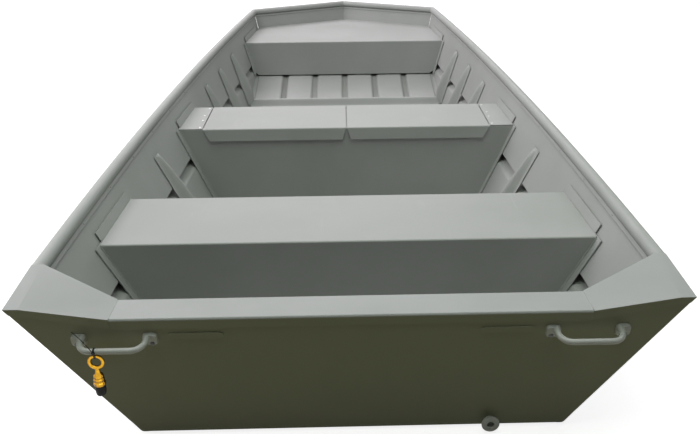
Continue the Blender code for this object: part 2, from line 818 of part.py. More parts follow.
def make_end_flange(name, front, back, seat, paint, back_leg=True):
    """Strip turned against the hull side at a bench's end, up above the seat."""
    inset = SHEET + SIDE_GAP
    upright = front + FLANGE_SETBACK
    ys = [front - FLANGE_REACH, front + SHEET, upright]
    ys += stations(upright, back - SHEET, STATION)[1:] + [back]
    if back_leg:
        ys.append(back + FLANGE_REACH)
    last = len(ys) - 2
    levels = ("floor", seat - FLANGE_TUCK, seat - SHEET / 2, seat + FLANGE_HEIGHT)
    for side, word in ((-1, "port"), (1, "starboard")):
        rows = []
        for level in levels:
            row = []
            for y in ys:
                z = floor_top(y) + CHINE_RADIUS if level == "floor" else level
                row.append(Vector((side * side_half(y, z, inset), y, z)))
            rows.append(row)

        def keep(i, j):
            if i == 0:
                return j == 0 or (back_leg and j >= last)
            if i == 1:
                return True
            return 2 <= j and ys[j + 1] <= back
        folded_sheet(name + "_" + word, rows, (side, 0, 0), paint,
                     thickness=FLANGE_THICKNESS, keep=keep)


def lid_half_span():
    """Distance from the centreline to the fixed end plates beside the lids."""
    back = MIDDLE_BENCH_Y + MIDDLE_BENCH_DEPTH
    return side_half(back, SEAT_HEIGHT, bench_inset(back)) - END_PLATE_WIDTH


def locker_top():
    """Upper face of what the lids and the fixed end plates rest on."""
    return SEAT_HEIGHT - SHEET - SEAT_GAP


def make_middle_bench(paint):
    front = MIDDLE_BENCH_Y
    back = MIDDLE_BENCH_Y + MIDDLE_BENCH_DEPTH
    top = locker_top()
    for name, y, inward in (("front", front, 1), ("back", back, -1)):
        foot = foot_rows(y, floor_top(y))
        fold = rounded([(y, foot[1][0].z), (y, top), (y + inward * LOCKER_FLANGE, top)],
                       BEND_RADIUS)[1:]
        folded_sheet("middle_bench_" + name, foot + [cross_row(a, z) for a, z in fold],
                     (0, -inward, 0), paint)
    for side, word in ((-1, "port"), (1, "starboard")):
        rows = []
        for y in stations(front, back, MIDDLE_BENCH_DEPTH / BENCH_STEPS):
            outer = side_half(y, SEAT_HEIGHT, bench_inset(y))
            rows.append([Vector((side * x, y, SEAT_HEIGHT))
                         for x in (lid_half_span(), outer)])
        folded_sheet("middle_bench_end_" + word, rows, (0, 0, 1), paint)


def make_partitions(paint):
    """Upright plates in the middle bench, each with a flange that carries a lid edge."""
    floor = floor_top(MIDDLE_BENCH_Y)
    top = locker_top() - SHEET - SEAT_GAP
    ends = (MIDDLE_BENCH_Y + BEND_RADIUS + SEAT_GAP,
            MIDDLE_BENCH_Y + MIDDLE_BENCH_DEPTH - BEND_RADIUS - SEAT_GAP)
    half = SHEET / 2
    shapes = {
        "port": (-lid_half_span() + LID_GAP, LOCKER_FLANGE, half),
        "centre": (0.0, LOCKER_FLANGE / 2, LOCKER_FLANGE / 2),
        "starboard": (lid_half_span() - LID_GAP, half, LOCKER_FLANGE),
    }
    lowest = MIDDLE_BENCH_Y + MIDDLE_BENCH_DEPTH
    for word, (x, left, right) in shapes.items():
        foot = floor
        if x:
            beyond = abs(x) + half - side_half(lowest, floor, SHEET + SIDE_GAP)
            foot += beyond / math.tan(flare(lowest))
        profile = [(-half, foot), (half, foot)]
        if right > half:
            profile += [(half, top - SHEET), (right, top - SHEET)]
        profile += [(right, top), (-left, top)]
        if left > half:
            profile += [(-left, top - SHEET), (-half, top - SHEET)]
        sections = [[Vector((x + a, y, z)) for a, z in profile] for y in ends]
        loft("locker_partition_" + word, sections, paint)


def make_lids(paint):
    """Two lids side by side: flat tops with a deep bevelled lip and a short back lip."""
    inner = LID_GAP / 2
    outer = lid_half_span() - LID_GAP
    front = MIDDLE_BENCH_Y - LID_GAP - SHEET
    back = hinge_leaf_face() + LEAF + SEAT_GAP + SHEET
    top = SEAT_HEIGHT
    fold = rounded([(front, top - LID_LIP), (front, top), (back, top),
                    (back, top - LID_BACK_LIP)], BEND_RADIUS)
    for side, word in ((-1, "port"), (1, "starboard")):
        rows = [[Vector((side * (inner + LID_LIP_INNER_BEVEL), *fold[0])),
                 Vector((side * (outer - LID_LIP_OUTER_BEVEL), *fold[0]))]]
        rows += [[Vector((side * inner, y, z)), Vector((side * outer, y, z))]
                 for y, z in fold[1:]]
        folded_sheet("lid_" + word, rows, (0, -1, 0), paint)


def hinge_leaf_face():
    """Bow side of the middle bench's back plate, where the fixed leaves lie."""
    return MIDDLE_BENCH_Y + MIDDLE_BENCH_DEPTH + SEAT_GAP


def hinge_axis():
    """Height and station of the lids' hinge pins."""
    outer = PIN_RADIUS + PIN_GAP + LEAF
    drop = BEND_RADIUS + SEAT_GAP + LEAF_LENGTH + outer
    return hinge_leaf_face() + outer, SEAT_HEIGHT - drop


def make_hinges(metal):
    """Rolled piano hinges: each leaf is curled round the pin at its own knuckles."""
    axis_y, axis_z = hinge_axis()
    roll = PIN_RADIUS + PIN_GAP
    start = LID_GAP / 2 + HINGE_END_INSET
    end = lid_half_span() - LID_GAP - HINGE_END_INSET
    pitch = (end - start) / KNUCKLES
    curl_steps = 10
    for side, word in ((-1, "port"), (1, "starboard")):
        for up, name, mine in ((-1, "hinge_bench_leaf_", 0), (1, "hinge_lid_leaf_", 1)):
            profile = [(-roll, up * (roll + LEAF + LEAF_LENGTH)), (-roll, up * (roll + LEAF))]
            for k in range(curl_steps + 1):
                a = math.pi - up * math.radians(300) * k / curl_steps * -1
                profile.append((roll * math.cos(a), roll * math.sin(a)))
            xs = []
            for k in range(KNUCKLES):
                xs += [start + k * pitch + KNUCKLE_GAP, start + (k + 1) * pitch - KNUCKLE_GAP]
            rows = [[Vector((side * x, axis_y + a, axis_z + b)) for a, b in profile]
                    for x in xs]

            def keep(i, j):
                return j == 0 or (i % 2 == 0 and (i // 2) % 2 == mine)
            folded_sheet(name + word, rows, (0, 1, 0), metal, thickness=LEAF, keep=keep)
        turned("hinge_pin_" + word, [(start - KNUCKLE_GAP, PIN_RADIUS),
                                     (end + KNUCKLE_GAP, PIN_RADIUS)],
               (0, axis_y, axis_z), (side, 0, 0), metal, sides=10)


# Ribs

def rib_profile(height):
    """Hat section across the boat's length: feet, sloping webs and a flat crown."""
    share = min(max(height / RIB_HEIGHT, 0.0), 1.0)
    base = RIB_HALF_BASE * (0.45 + 0.55 * share)
    crown = RIB_HALF_CROWN * (0.30 + 0.70 * share)
    foot = RIB_FLANGE
    rise = max(height, foot * 1.6)
    return [(-RIB_HALF_FOOT, 0.0), (RIB_HALF_FOOT, 0.0), (RIB_HALF_FOOT, foot),
            (base, foot), (crown, rise), (-crown, rise), (-base, foot), (-RIB_HALF_FOOT, foot)]


def make_ribs(paint):
    places = [AFT_RIB_Y] + [FORE_RIB_Y + k * FORE_RIB_PITCH for k in range(FORE_RIB_COUNT)]
    for number, station in enumerate(places, start=1):
        corner = 1 / math.tan((math.pi / 2 + flare(station)) / 2)

        def mitre(height):
            """Set-back from the chine corner at a height above the plating."""
            tangent = (CHINE_RADIUS - SHEET) * corner
            return max(height * corner, tangent) + SEAT_GAP
        sections = []
        for side in (-1, 1):
            section = []
            for along, height in rib_profile(RIB_HEIGHT):
                y = station + along
                floor = floor_top(y)
                inner = side_half(y, floor, SHEET + SEAT_GAP)
                section.append(Vector((side * (inner - mitre(height)), y, floor + height)))
            sections.append(section)
        loft("floor_rib_%d" % number, sections, paint)

        lean = flare(station)
        length = (sheer_z(station) - RIB_BELOW_SHEER - floor_top(station)) / math.cos(lean)
        for side, word in ((-1, "port"), (1, "starboard")):
            sections = []
            for t in (0.0, 0.35, 0.7, 0.9, 1.0):
                height = RIB_HEIGHT * math.sqrt(1 - t)
                section = []
                for along, rise in rib_profile(height):
                    y = station + along
                    up = length * t + (mitre(rise) * (1 - t))
                    base = (floor_top(y) - keel_z(y)) / math.cos(lean)
                    p = side_point(y, base + up, -(SHEET + SIDE_GAP + rise))
                    section.append(Vector((side * p.x, p.y, p.z)))
                sections.append(section)
            loft("side_rib_%d_%s" % (number, word), sections, paint)


# Handles, drain and bow eye

def transom_frame():
    lean = math.atan(TRANSOM_SLOPE)
    out = Vector((0, -math.cos(lean), -math.sin(lean)))
    up = Vector((0, -math.sin(lean), math.cos(lean)))
    return out, up


def squared(share):
    """Bends a circle's sine or cosine towards a square with round corners."""
    return math.copysign(abs(share) ** 0.45, share)


def handle_base(side):
    face = SEAT_GAP + SHEET + SEAT_GAP
    return Vector((side * handle_x(), transom_y(HANDLE_Z, face), HANDLE_Z))


def make_handles(metal):
    out, up = transom_frame()
    half = HANDLE_SPAN / 2
    for side, word in ((-1, "port"), (1, "starboard")):
        base = handle_base(side)
        path = []
        for end in (-1, 1):
            leg = [base + Vector((end * half, 0, 0)) + out * FOOT_THICKNESS * 0.5]
            turn = base + Vector((end * (half - HANDLE_BEND), 0, 0))
            turn += out * (HANDLE_STANDOFF - HANDLE_BEND)
            for k in range(6):
                a = math.radians(90 * k / 5)
                leg.append(turn + Vector((end * HANDLE_BEND * math.cos(a), 0, 0))
                           + out * HANDLE_BEND * math.sin(a))
            path += leg if end < 0 else list(reversed(leg))
        bar = tube("handle_" + word, path, HANDLE_RADIUS, metal)
        for end in (-1, 1):
            middle = base + Vector((end * (half + FOOT_OUTWARD), 0, 0)) - up * FOOT_DROP
            outline = []
            for k in range(20):
                a = 2 * math.pi * k / 20
                outline.append(middle + Vector((FOOT_WIDTH / 2 * squared(math.cos(a)), 0, 0))
                               + up * FOOT_HEIGHT / 2 * squared(math.sin(a)))
            foot = loft("handle_foot", [outline, [p + out * FOOT_THICKNESS for p in outline]],
                        metal)
            unite(bar, foot)


def make_drain(metal):
    """Drain tube through the transom, with a real bore and a broad collar outside."""
    stern = transom_y(DRAIN_Z, SEAT_GAP + SHEET) - DRAIN_OUT
    bow = CAP_BOX_DEPTH + DRAIN_IN
    collar = stern + DRAIN_COLLAR_LENGTH
    body = turned("drain_tube", [(stern, DRAIN_COLLAR_RADIUS - 0.002),
                                 (stern + 0.002, DRAIN_COLLAR_RADIUS),
                                 (collar, DRAIN_COLLAR_RADIUS), (collar, DRAIN_RADIUS),
                                 (bow, DRAIN_RADIUS)],
                  (drain_x(), 0, DRAIN_Z), (0, 1, 0), metal, sides=20)
    cutter = turned("drain_bore", [(stern - DRAIN_OUT, DRAIN_BORE), (bow + DRAIN_OUT, DRAIN_BORE)],
                    (drain_x(), 0, DRAIN_Z), (0, 1, 0), metal, sides=20)
    bore(body, cutter)


def make_plug(brass, rubber, nylon):
    """Drain plug that hangs from the port handle's bar by a cable tie."""
    out, up = transom_frame()
    base = handle_base(-1)
    plug_x = base.x - PLUG_FROM_HANDLE
    bar = Vector((plug_x, base.y, base.z)) + out * HANDLE_STANDOFF
    over_bar = HANDLE_RADIUS + 2 * SEAT_GAP + TIE_THICKNESS / 2
    under_wire = RING_WIRE + 2 * SEAT_GAP + TIE_THICKNESS / 2
    hang = HANDLE_RADIUS + RING_WIRE + PLUG_SLACK
    wire = bar - Vector((0, 0, hang))
    ring_centre = wire - Vector((0, 0, RING_RADIUS))
    ring = []
    for k in range(24):
        a = 2 * math.pi * k / 24
        ring.append(ring_centre + RING_RADIUS * Vector((math.cos(a), 0, math.sin(a))))
    plug = tube("drain_plug_brass", ring, RING_WIRE, brass, sides=12, closed=True)
    neck_top = ring_centre.z - RING_RADIUS
    top = Vector((plug_x, bar.y, neck_top))
    stem = turned("plug_stem", [(0.0, NECK_RADIUS * 0.8), (NECK_LENGTH, NECK_RADIUS),
                                (NECK_LENGTH + 0.002, NUT_RADIUS * 0.9),
                                (NECK_LENGTH + NUT_LENGTH * 0.45, NUT_RADIUS * 0.8),
                                (NECK_LENGTH + NUT_LENGTH * 0.55, NUT_RADIUS),
                                (NECK_LENGTH + NUT_LENGTH, NUT_RADIUS)],
                  top, (0, 0, -1), brass)
    unite(plug, stem)
    low = Vector((plug_x, bar.y, neck_top - NECK_LENGTH - NUT_LENGTH - SEAT_GAP))
    turned("drain_plug_rubber", [(0.0, RUBBER_RADIUS), (RUBBER_LENGTH * 0.4, RUBBER_RADIUS * 1.08),
                                 (RUBBER_LENGTH, RUBBER_RADIUS * 0.88)], low, (0, 0, -1), rubber)

    wrap = math.asin((over_bar - under_wire) / hang)
    path = []
    for k in range(13):
        a = -wrap + (math.pi + 2 * wrap) * k / 12
        path.append(bar + over_bar * Vector((0, math.cos(a), math.sin(a))))
    for k in range(9):
        a = math.pi + wrap + (math.pi - 2 * wrap) * k / 8
        path.append(wire + under_wire * Vector((0, math.cos(a), math.sin(a))))
    band = tube("cable_tie", path, TIE_THICKNESS / 2, nylon, sides=8, closed=True)
    head = bar - Vector((0, over_bar, 0))
    along = Vector((-0.50, -0.10, 0.86)).normalized()
    tail = tube("tie_tail", [head, head + along * TIE_TAIL], TIE_WIDTH / 3, nylon, sides=8)
    unite(band, tail)


def make_bow_eye(metal):
    """U-shaped eye at the middle of the bow panel's outside, on a bent backing strap."""
    z = SHEER_BOW - EYE_BELOW_RAIL
    sunk = SEAT_GAP + BOW_SLOPE * EYE_RADIUS + SEAT_GAP
    ends = [Vector((0, bow_y(0, z + dz) + sunk, z + dz))
            for dz in (-EYE_HALF_WIDTH, EYE_HALF_WIDTH)]
    centre = Vector((0, ends[1].y + EYE_PLATE, z))
    path = [ends[0]]
    for k in range(9):
        a = math.radians(180 * k / 8)
        reach = (EYE_REACH - EYE_PLATE) * math.sin(a)
        path.append(centre + Vector((0, reach, -EYE_HALF_WIDTH * math.cos(a))))
    path.append(ends[1])
    eye = tube("bow_eye", path, EYE_RADIUS, metal, sides=12)
    half = 0.016
    fall = BOW_POINT / HALF_BEAM_BOW
    rows = []
    for dz in (-EYE_HALF_WIDTH * 1.7, EYE_HALF_WIDTH * 1.7):
        row = []
        for x in (-half, 0, half):
            y = bow_y(x, z + dz) + (SEAT_GAP + EYE_PLATE) * math.hypot(1.0, fall) + 0.001
            row.append(Vector((x, y, z + dz)))
        rows.append(row)
    strap = folded_sheet("eye_strap", rows, (0, 1, 0), metal, thickness=EYE_PLATE)
    unite(eye, strap)


def put_origin(obj, point):
    """Moves an object's origin without moving its shape."""
    obj.data.transform(Matrix.Translation(-point))
    obj.location = point


def hang_lids():
    """Each lid turns about its hinge pin and carries its own hinge leaf."""
    axis_y, axis_z = hinge_axis()
    for word in ("port", "starboard"):
        lid = bpy.data.objects["lid_" + word]
        leaf = bpy.data.objects["hinge_lid_leaf_" + word]
        for obj in (lid, leaf):
            put_origin(obj, Vector((0, axis_y, axis_z)))
        leaf.parent = lid
        leaf.location = (0, 0, 0)


def centre_on_floor():
    """Puts the hull frame's middle, between its furthest points, over the origin."""
    bpy.context.view_layer.update()
    graph = bpy.context.evaluated_depsgraph_get()
    reach = []
    parts = [o for o in bpy.context.scene.objects if o.type == "MESH" and not o.hide_render]
    for obj in parts:
        shape = obj.evaluated_get(graph)
        reach += [(shape.matrix_world @ Vector(corner)).y for corner in shape.bound_box]
    frame = bpy.data.objects.new("hull_frame", None)
    bpy.context.scene.collection.objects.link(frame)
    frame.location = (0, -(min(reach) + max(reach)) / 2, 0)
    for obj in list(bpy.context.scene.objects):
        if obj.parent is None and obj is not frame:
            obj.parent = frame


def main():
    for obj in list(bpy.data.objects):
        bpy.data.objects.remove(obj)
    paint = material("grey_green_paint", (0.20, 0.21, 0.19), 0.45, 0.0)
    cast = material("cast_aluminium", (0.32, 0.33, 0.30), 0.40, 0.6)
    steel = material("hinge_steel", (0.55, 0.56, 0.55), 0.35, 0.9)
    brass = material("plug_brass", (0.58, 0.36, 0.06), 0.30, 1.0)
    rubber = material("plug_rubber", (0.02, 0.02, 0.02), 0.80, 0.0)
    nylon = material("tie_nylon", (0.02, 0.02, 0.02), 0.50, 0.0)
    make_bottom(paint)
    make_sides(paint)
    make_bow_panel(paint)
    make_rails(paint)
    make_transom(paint)
    make_transom_cap(paint)
    make_corner_plates(paint)
    make_transom_pads(paint)
    make_stern_bench(paint)
    make_middle_bench(paint)
    make_partitions(paint)
    make_lids(paint)
    make_hinges(steel)
    make_bow_bench(paint)
    make_end_flange("stern_bench_flange", STERN_BENCH_Y, STERN_BENCH_Y + STERN_BENCH_DEPTH,
                    SEAT_HEIGHT, paint)
    make_end_flange("middle_bench_flange", MIDDLE_BENCH_Y, MIDDLE_BENCH_Y + MIDDLE_BENCH_DEPTH,
                    SEAT_HEIGHT, paint)
    make_end_flange("bow_bench_flange", BOW_BENCH_Y, BOW_BENCH_Y + 0.40,
                    BOW_DECK_HEIGHT, paint, back_leg=False)
    make_ribs(paint)
    make_handles(cast)
    make_drain(cast)
    make_plug(brass, rubber, nylon)
    make_bow_eye(steel)
    hang_lids()
    centre_on_floor()


main()
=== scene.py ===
# %% [markdown]
# A jon boat is a flat-bottomed boat of folded aluminium sheet, welded, riveted and sprayed matt
# grey-green. It is nearly all straight plates, so the look comes from small things: the round bead of
# the gunwale, pressed strakes and ribs, soft folds, rivets, welds, and a weak light from the sides.

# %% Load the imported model
import bpy
import bmesh
import json
import math
import numpy as np
from mathutils import Matrix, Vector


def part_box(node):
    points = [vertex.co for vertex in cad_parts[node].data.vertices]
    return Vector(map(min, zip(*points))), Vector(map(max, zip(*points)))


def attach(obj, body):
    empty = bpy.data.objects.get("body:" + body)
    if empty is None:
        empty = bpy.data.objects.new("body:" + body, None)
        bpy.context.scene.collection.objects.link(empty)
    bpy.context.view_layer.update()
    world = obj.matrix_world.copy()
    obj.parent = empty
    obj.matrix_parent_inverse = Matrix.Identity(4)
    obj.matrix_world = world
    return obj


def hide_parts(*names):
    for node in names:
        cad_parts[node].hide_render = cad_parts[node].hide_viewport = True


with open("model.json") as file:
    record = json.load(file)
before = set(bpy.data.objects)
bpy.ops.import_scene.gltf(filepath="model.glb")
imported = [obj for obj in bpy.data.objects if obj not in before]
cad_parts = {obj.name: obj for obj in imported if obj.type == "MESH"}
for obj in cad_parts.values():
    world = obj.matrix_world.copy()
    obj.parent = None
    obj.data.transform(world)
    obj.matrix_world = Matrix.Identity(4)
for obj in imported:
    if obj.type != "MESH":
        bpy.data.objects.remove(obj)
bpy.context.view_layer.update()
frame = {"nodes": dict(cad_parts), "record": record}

# %% [markdown]
# The camera comes first, so that every later choice can be judged through it. Its place was solved
# from points of the photograph, which looks down over the transom along the boat.

# %% Camera
PICTURE_WIDTH = 700
PICTURE_HEIGHT = 434
CAMERA_AT = (-0.0152, -3.9017, 1.5008)
CAMERA_YAW = math.radians(1.2529)
CAMERA_PITCH = math.radians(-25.6092)
CAMERA_ROLL = math.radians(-0.4415)
FOCAL_PIXELS = 784.93
VIEW_CENTRE = (360.669, 234.1126)
SENSOR = 36.0

lens = bpy.data.cameras.new("photo_camera")
lens.sensor_width = SENSOR
lens.lens = FOCAL_PIXELS * SENSOR / PICTURE_WIDTH
lens.shift_x = (PICTURE_WIDTH / 2 - VIEW_CENTRE[0]) / PICTURE_WIDTH
lens.shift_y = (VIEW_CENTRE[1] - PICTURE_HEIGHT / 2) / PICTURE_WIDTH
camera = bpy.data.objects.new("photo_camera", lens)
bpy.context.scene.collection.objects.link(camera)
camera.matrix_world = (Matrix.Translation(CAMERA_AT) @ Matrix.Rotation(-CAMERA_YAW, 4, "Z")
                       @ Matrix.Rotation(math.pi / 2 + CAMERA_PITCH, 4, "X")
                       @ Matrix.Rotation(CAMERA_ROLL, 4, "Z"))
bpy.context.scene.camera = camera
print("lens", round(lens.lens, 2), "mm")

# %% [markdown]
# The boat is lit as in a shop, by soft panels under the ceiling and one along the port wall. Their
# powers were fitted to the tones of some forty points. The background is white to the camera alone:
# for bounced light the floor is dim and olive, which tints the plates that face down.

# %% Light, background and floor
CEILING = 4.1
PANELS = {
    "ceiling_port": ((-2.6, 1.3, CEILING), 0, (2.5, 5.1), 192.0, (1.0, 0.965, 1.01)),
    "ceiling_fore": ((0.0, 5.2, CEILING), 0, (2.5, 2.5), 103.0, (1.0, 0.965, 1.01)),
    "ceiling_aft": ((0.0, -2.6, CEILING), 0, (2.5, 2.5), 62.0, (0.90, 1.0, 0.90)),
    "ceiling_starboard": ((2.6, 0.0, CEILING), 0, (2.5, 2.5), 54.0, (0.97, 1.0, 1.0)),
    "wall_port": ((-4.2, 0.5, 1.6), -90, (3.0, 6.0), 71.0, (1.0, 1.0, 1.0)),
}
SURROUND = (0.018, 0.022, 0.017)
FLOOR_BOUNCE = (0.265, 0.252, 0.150)
FLOOR_PALE = (0.6, 0.6, 0.6)
FLOOR_GLOW = 0.84
FLOOR_SIZE = 60.0
FLOOR_DROP = 0.0004  # keeps the strakes from lying in the same plane as the floor
BLACK = (0.0, 0.0, 0.0)
WHITE = (1.0, 1.0, 1.0)

bpy.context.scene.view_settings.view_transform = "Standard"

for name, (place, turn, size, power, colour) in PANELS.items():
    lamp = bpy.data.lights.new(name, "AREA")
    lamp.shape = "RECTANGLE"
    lamp.size, lamp.size_y = size
    lamp.energy = power
    lamp.color = colour
    panel = bpy.data.objects.new(name, lamp)
    panel.location = place
    panel.rotation_euler.y = math.radians(turn)
    panel.visible_camera = False
    bpy.context.scene.collection.objects.link(panel)


class Wire:
    """An output of a node, so that shader maths is written as a Python expression."""

    def __init__(self, board, socket):
        self.board = board
        self.socket = socket

    def maths(self, operation, other=0.0):
        return self.board.node("ShaderNodeMath", {0: self, 1: other}, operation=operation)

    def __add__(self, other):
        return self.maths("ADD", other)

    def __sub__(self, other):
        return self.maths("SUBTRACT", other)

    def __mul__(self, other):
        return self.maths("MULTIPLY", other)

    __radd__ = __add__
    __rmul__ = __mul__

    def larger(self, other):
        return self.maths("MAXIMUM", other)

    def sine(self):
        return self.maths("SINE")

    def between(self, low, high):
        """0 below low, 1 above high, and a smooth step between them."""
        return self.board.node("ShaderNodeMapRange", {"Value": self, "From Min": low,
                               "From Max": high}, interpolation_type="SMOOTHSTEP")


class Board:
    """A node tree with one method that adds any node and returns one of its outputs."""

    def __init__(self, tree):
        self.tree = tree

    def node(self, kind, sockets=None, out=0, **settings):
        node = self.tree.nodes.new(kind)
        for name, value in settings.items():
            setattr(node, name, value)
        for name, value in (sockets or {}).items():
            self.join(node.inputs[name], value)
        return Wire(self, node.outputs[out])

    def join(self, socket, value):
        if isinstance(value, Wire):
            self.tree.links.new(value.socket, socket)
        else:
            socket.default_value = value

    def mix(self, share, first, second):
        """Mixes two colours; a Math node would turn them grey."""
        first, second = ((*c, 1) if isinstance(c, tuple) else c for c in (first, second))
        return self.node("ShaderNodeMix", {0: share, 6: first, 7: second}, 2, data_type="RGBA")

    def seen(self):
        """1 for a ray that the camera sees, straight, in a mirror or through glass."""
        straight = self.node("ShaderNodeLightPath", out="Is Camera Ray")
        mirrored = self.node("ShaderNodeLightPath", out="Is Glossy Ray")
        through = self.node("ShaderNodeLightPath", out="Is Transmission Ray")
        return straight.larger(mirrored).larger(through)


world = bpy.data.worlds.new("surroundings")
bpy.context.scene.world = world
world.use_nodes = True
sky = Board(world.node_tree)
shade = world.node_tree.nodes["Background"]
sky.join(shade.inputs["Color"], sky.mix(sky.seen(), SURROUND, WHITE))
print("panels", len(PANELS), "of", sum(panel[3] for panel in PANELS.values()), "W in all")


def make_floor():
    """A flat floor: pale and a little glowing to the camera, dim for bounced light."""
    half = FLOOR_SIZE / 2
    mesh = bpy.data.meshes.new("floor")
    corners = [(x, y, -FLOOR_DROP) for x, y in
               ((-half, -half), (half, -half), (half, half), (-half, half))]
    mesh.from_pydata(corners, [], [(0, 1, 2, 3)])
    floor = bpy.data.objects.new("floor", mesh)
    bpy.context.scene.collection.objects.link(floor)
    finish = bpy.data.materials.new("pale_floor")
    finish.use_nodes = True
    board = Board(finish.node_tree)
    shader = finish.node_tree.nodes["Principled BSDF"]
    seen = board.seen()
    board.join(shader.inputs["Base Color"], board.mix(seen, FLOOR_BOUNCE, FLOOR_PALE))
    shader.inputs["Roughness"].default_value = 1.0
    shader.inputs["Specular IOR Level"].default_value = 0.0
    board.join(shader.inputs["Emission Color"], board.mix(seen, BLACK, WHITE))
    shader.inputs["Emission Strength"].default_value = FLOOR_GLOW
    mesh.materials.append(finish)


make_floor()

# %% [markdown]
# Sprayed paint on sheet is not one even colour. Fine orange peel breaks up its highlights, its tone
# is cloudy, and people rub it where they step and sit. Painted shade darkens the strake channels, the
# undersides of the rails and the down-facing skirts of the cap. The outside of the transom is less
# glossy and tinted olive, a painted tint of the light bounced on to it, and the cap is a lighter copy
# of the seat paint, which is painted light. All of it comes from the Object coordinates and the
# piece's own normal, which stay with the piece.

# %% Finishes
PAINT = (0.405, 0.412, 0.400)
PAINT_DEEP = (0.365, 0.374, 0.358)
PAINT_RUBBED = (0.455, 0.458, 0.448)
# The next colour is painted shade, for the strake channels and the rails' undersides.
PAINTED_SHADE = (0.175, 0.180, 0.165)
# The next colour is painted olive shade on the cap's down-facing skirts.
CAP_SKIRT_SHADE = (0.380, 0.385, 0.300)
# The next tint is painted bounce light: it turns the transom's outside olive.
PAINTED_BOUNCE_TINT = (1.0, 0.99, 0.80)
# The next tint makes the cap a lighter, slightly bluer copy of the seat paint: painted light.
CAP_PAINTED_LIGHT = (1.15, 1.14, 1.17)
CAST = (0.50, 0.505, 0.48)
CAST_WORN = (0.56, 0.565, 0.545)
BRASS = (0.72, 0.385, 0.032)
# The next colour is painted shade at the brass's edges.
BRASS_PAINTED_SHADE = (0.07, 0.022, 0.002)
BRASS_SPOT = (0.22, 0.085, 0.008)
SOOT = (0.008, 0.008, 0.008)
SOOT_DUSTY = (0.026, 0.026, 0.025)
STRAKE_PITCH = 0.199
PEEL_SCALE = 420.0
CLOUD_SCALE = 2.3
RUB_SCALE = 9.0
RIPPLE_SCALE = 38.0
PAINT_RELIEF = 0.00032


class Finish(Board):
    """A Principled material whose nodes are added as Python expressions."""

    def __init__(self, name, **fixed):
        self.material = bpy.data.materials.new(name)
        self.material.use_nodes = True
        super().__init__(self.material.node_tree)
        self.shader = self.tree.nodes["Principled BSDF"]
        for socket, value in fixed.items():
            self.feed(socket.replace("_", " "), value)
        self.place = self.node("ShaderNodeTexCoord", out="Object")

    def feed(self, socket, value):
        self.join(self.shader.inputs[socket], value)

    def noise(self, scale, detail=2.0, roughness=0.5, stretch=None):
        place = self.place
        if stretch:
            place = self.node("ShaderNodeMapping", {"Vector": place, "Scale": stretch})
        return self.node("ShaderNodeTexNoise", {"Vector": place, "Scale": scale,
                                                "Detail": detail, "Roughness": roughness})

    def bump(self, height, depth):
        """Relief from a height of 0 to 1 that stands for a depth in metres."""
        self.feed("Normal", self.node("ShaderNodeBump", {"Height": height, "Distance": depth}))


def paint_finish(name, rub, channels=0.0, down_shade=None, gloss=0.38, tint=(1, 1, 1)):
    """Matt paint: clouds, orange peel, rub marks by rub, painted shade in the strake channels, and
    painted shade on faces that look down, as (colour, share, and how far down a face looks where it
    starts and where it is full)."""
    paint = Finish(name, Specular_IOR_Level=gloss)
    cloud = paint.noise(CLOUD_SCALE, 4.0, 0.55).between(0.32, 0.68)
    deep, light = (tuple(np.multiply(tone, tint)) for tone in (PAINT_DEEP, PAINT))
    colour = paint.mix(cloud, deep, light)
    marks = paint.noise(RUB_SCALE, 8.0, 0.62, (1.0, 0.35, 1.0)).between(0.60, 0.78)
    scratches = paint.noise(RUB_SCALE * 5, 3.0, 0.5, (1.0, 0.05, 1.0)).between(0.68, 0.74)
    worn = (marks * 0.7 + scratches * 0.5) * rub
    colour = paint.mix(worn, colour, PAINT_RUBBED)
    # Painted shade: the strake channels are darkened where shade falls in them.
    if channels:
        across = paint.node("ShaderNodeSeparateXYZ", {"Vector": paint.place}, out="X")
        wave = (across * (2 * math.pi / channels) + math.pi / 2).sine()
        channel_shade = wave.between(0.74, 0.93) * (0.55 + cloud * 0.25)
        colour = paint.mix(channel_shade, colour, PAINTED_SHADE)
    # Painted shade: faces that look down are darkened as if in shade.
    if down_shade:
        normal = paint.node("ShaderNodeTexCoord", out="Normal")
        upward = paint.node("ShaderNodeSeparateXYZ", {"Vector": normal}, out="Z")
        tone, share, start, full = down_shade
        under = (upward * -1.0).between(start, full) * share
        colour = paint.mix(under, colour, tone)
    paint.feed("Base Color", colour)
    grain = paint.noise(PEEL_SCALE * 0.3, 3.0, 0.6)
    paint.feed("Roughness", 0.46 + cloud * 0.05 - worn * 0.10 + grain * 0.04)
    peel = paint.noise(PEEL_SCALE, 2.0, 0.5)
    ripple = paint.noise(RIPPLE_SCALE, 1.0, 0.5)
    paint.bump(peel * 0.25 + ripple * 0.75, PAINT_RELIEF)
    return paint.material


def cast_finish():
    """Painted casting: the paint's colour over a sandy skin, worn in patches."""
    cast = Finish("cast_handle_finish", Specular_IOR_Level=0.5)
    sand = cast.noise(900.0, 4.0, 0.7)
    worn = cast.noise(40.0, 5.0, 0.6).between(0.5, 0.75)
    cast.feed("Base Color", cast.mix(worn, CAST, CAST_WORN))
    cast.feed("Roughness", 0.40 + sand * 0.12 - worn * 0.08)
    cast.bump(sand, 0.00025)
    return cast.material


def metal_finish(name, colour, tarnish, roughness, lines):
    """Bare metal: turning or rolling lines as fine relief, with cloudy tarnish."""
    metal = Finish(name, Metallic=1.0)
    cloud = metal.noise(120.0, 5.0, 0.6).between(0.35, 0.75)
    metal.feed("Base Color", metal.mix(cloud, colour, tarnish))
    fine = metal.noise(300.0, 2.0, 0.5, lines)
    metal.feed("Roughness", roughness + cloud * 0.12 + fine * 0.06)
    metal.bump(fine, 0.00006)
    return metal.material


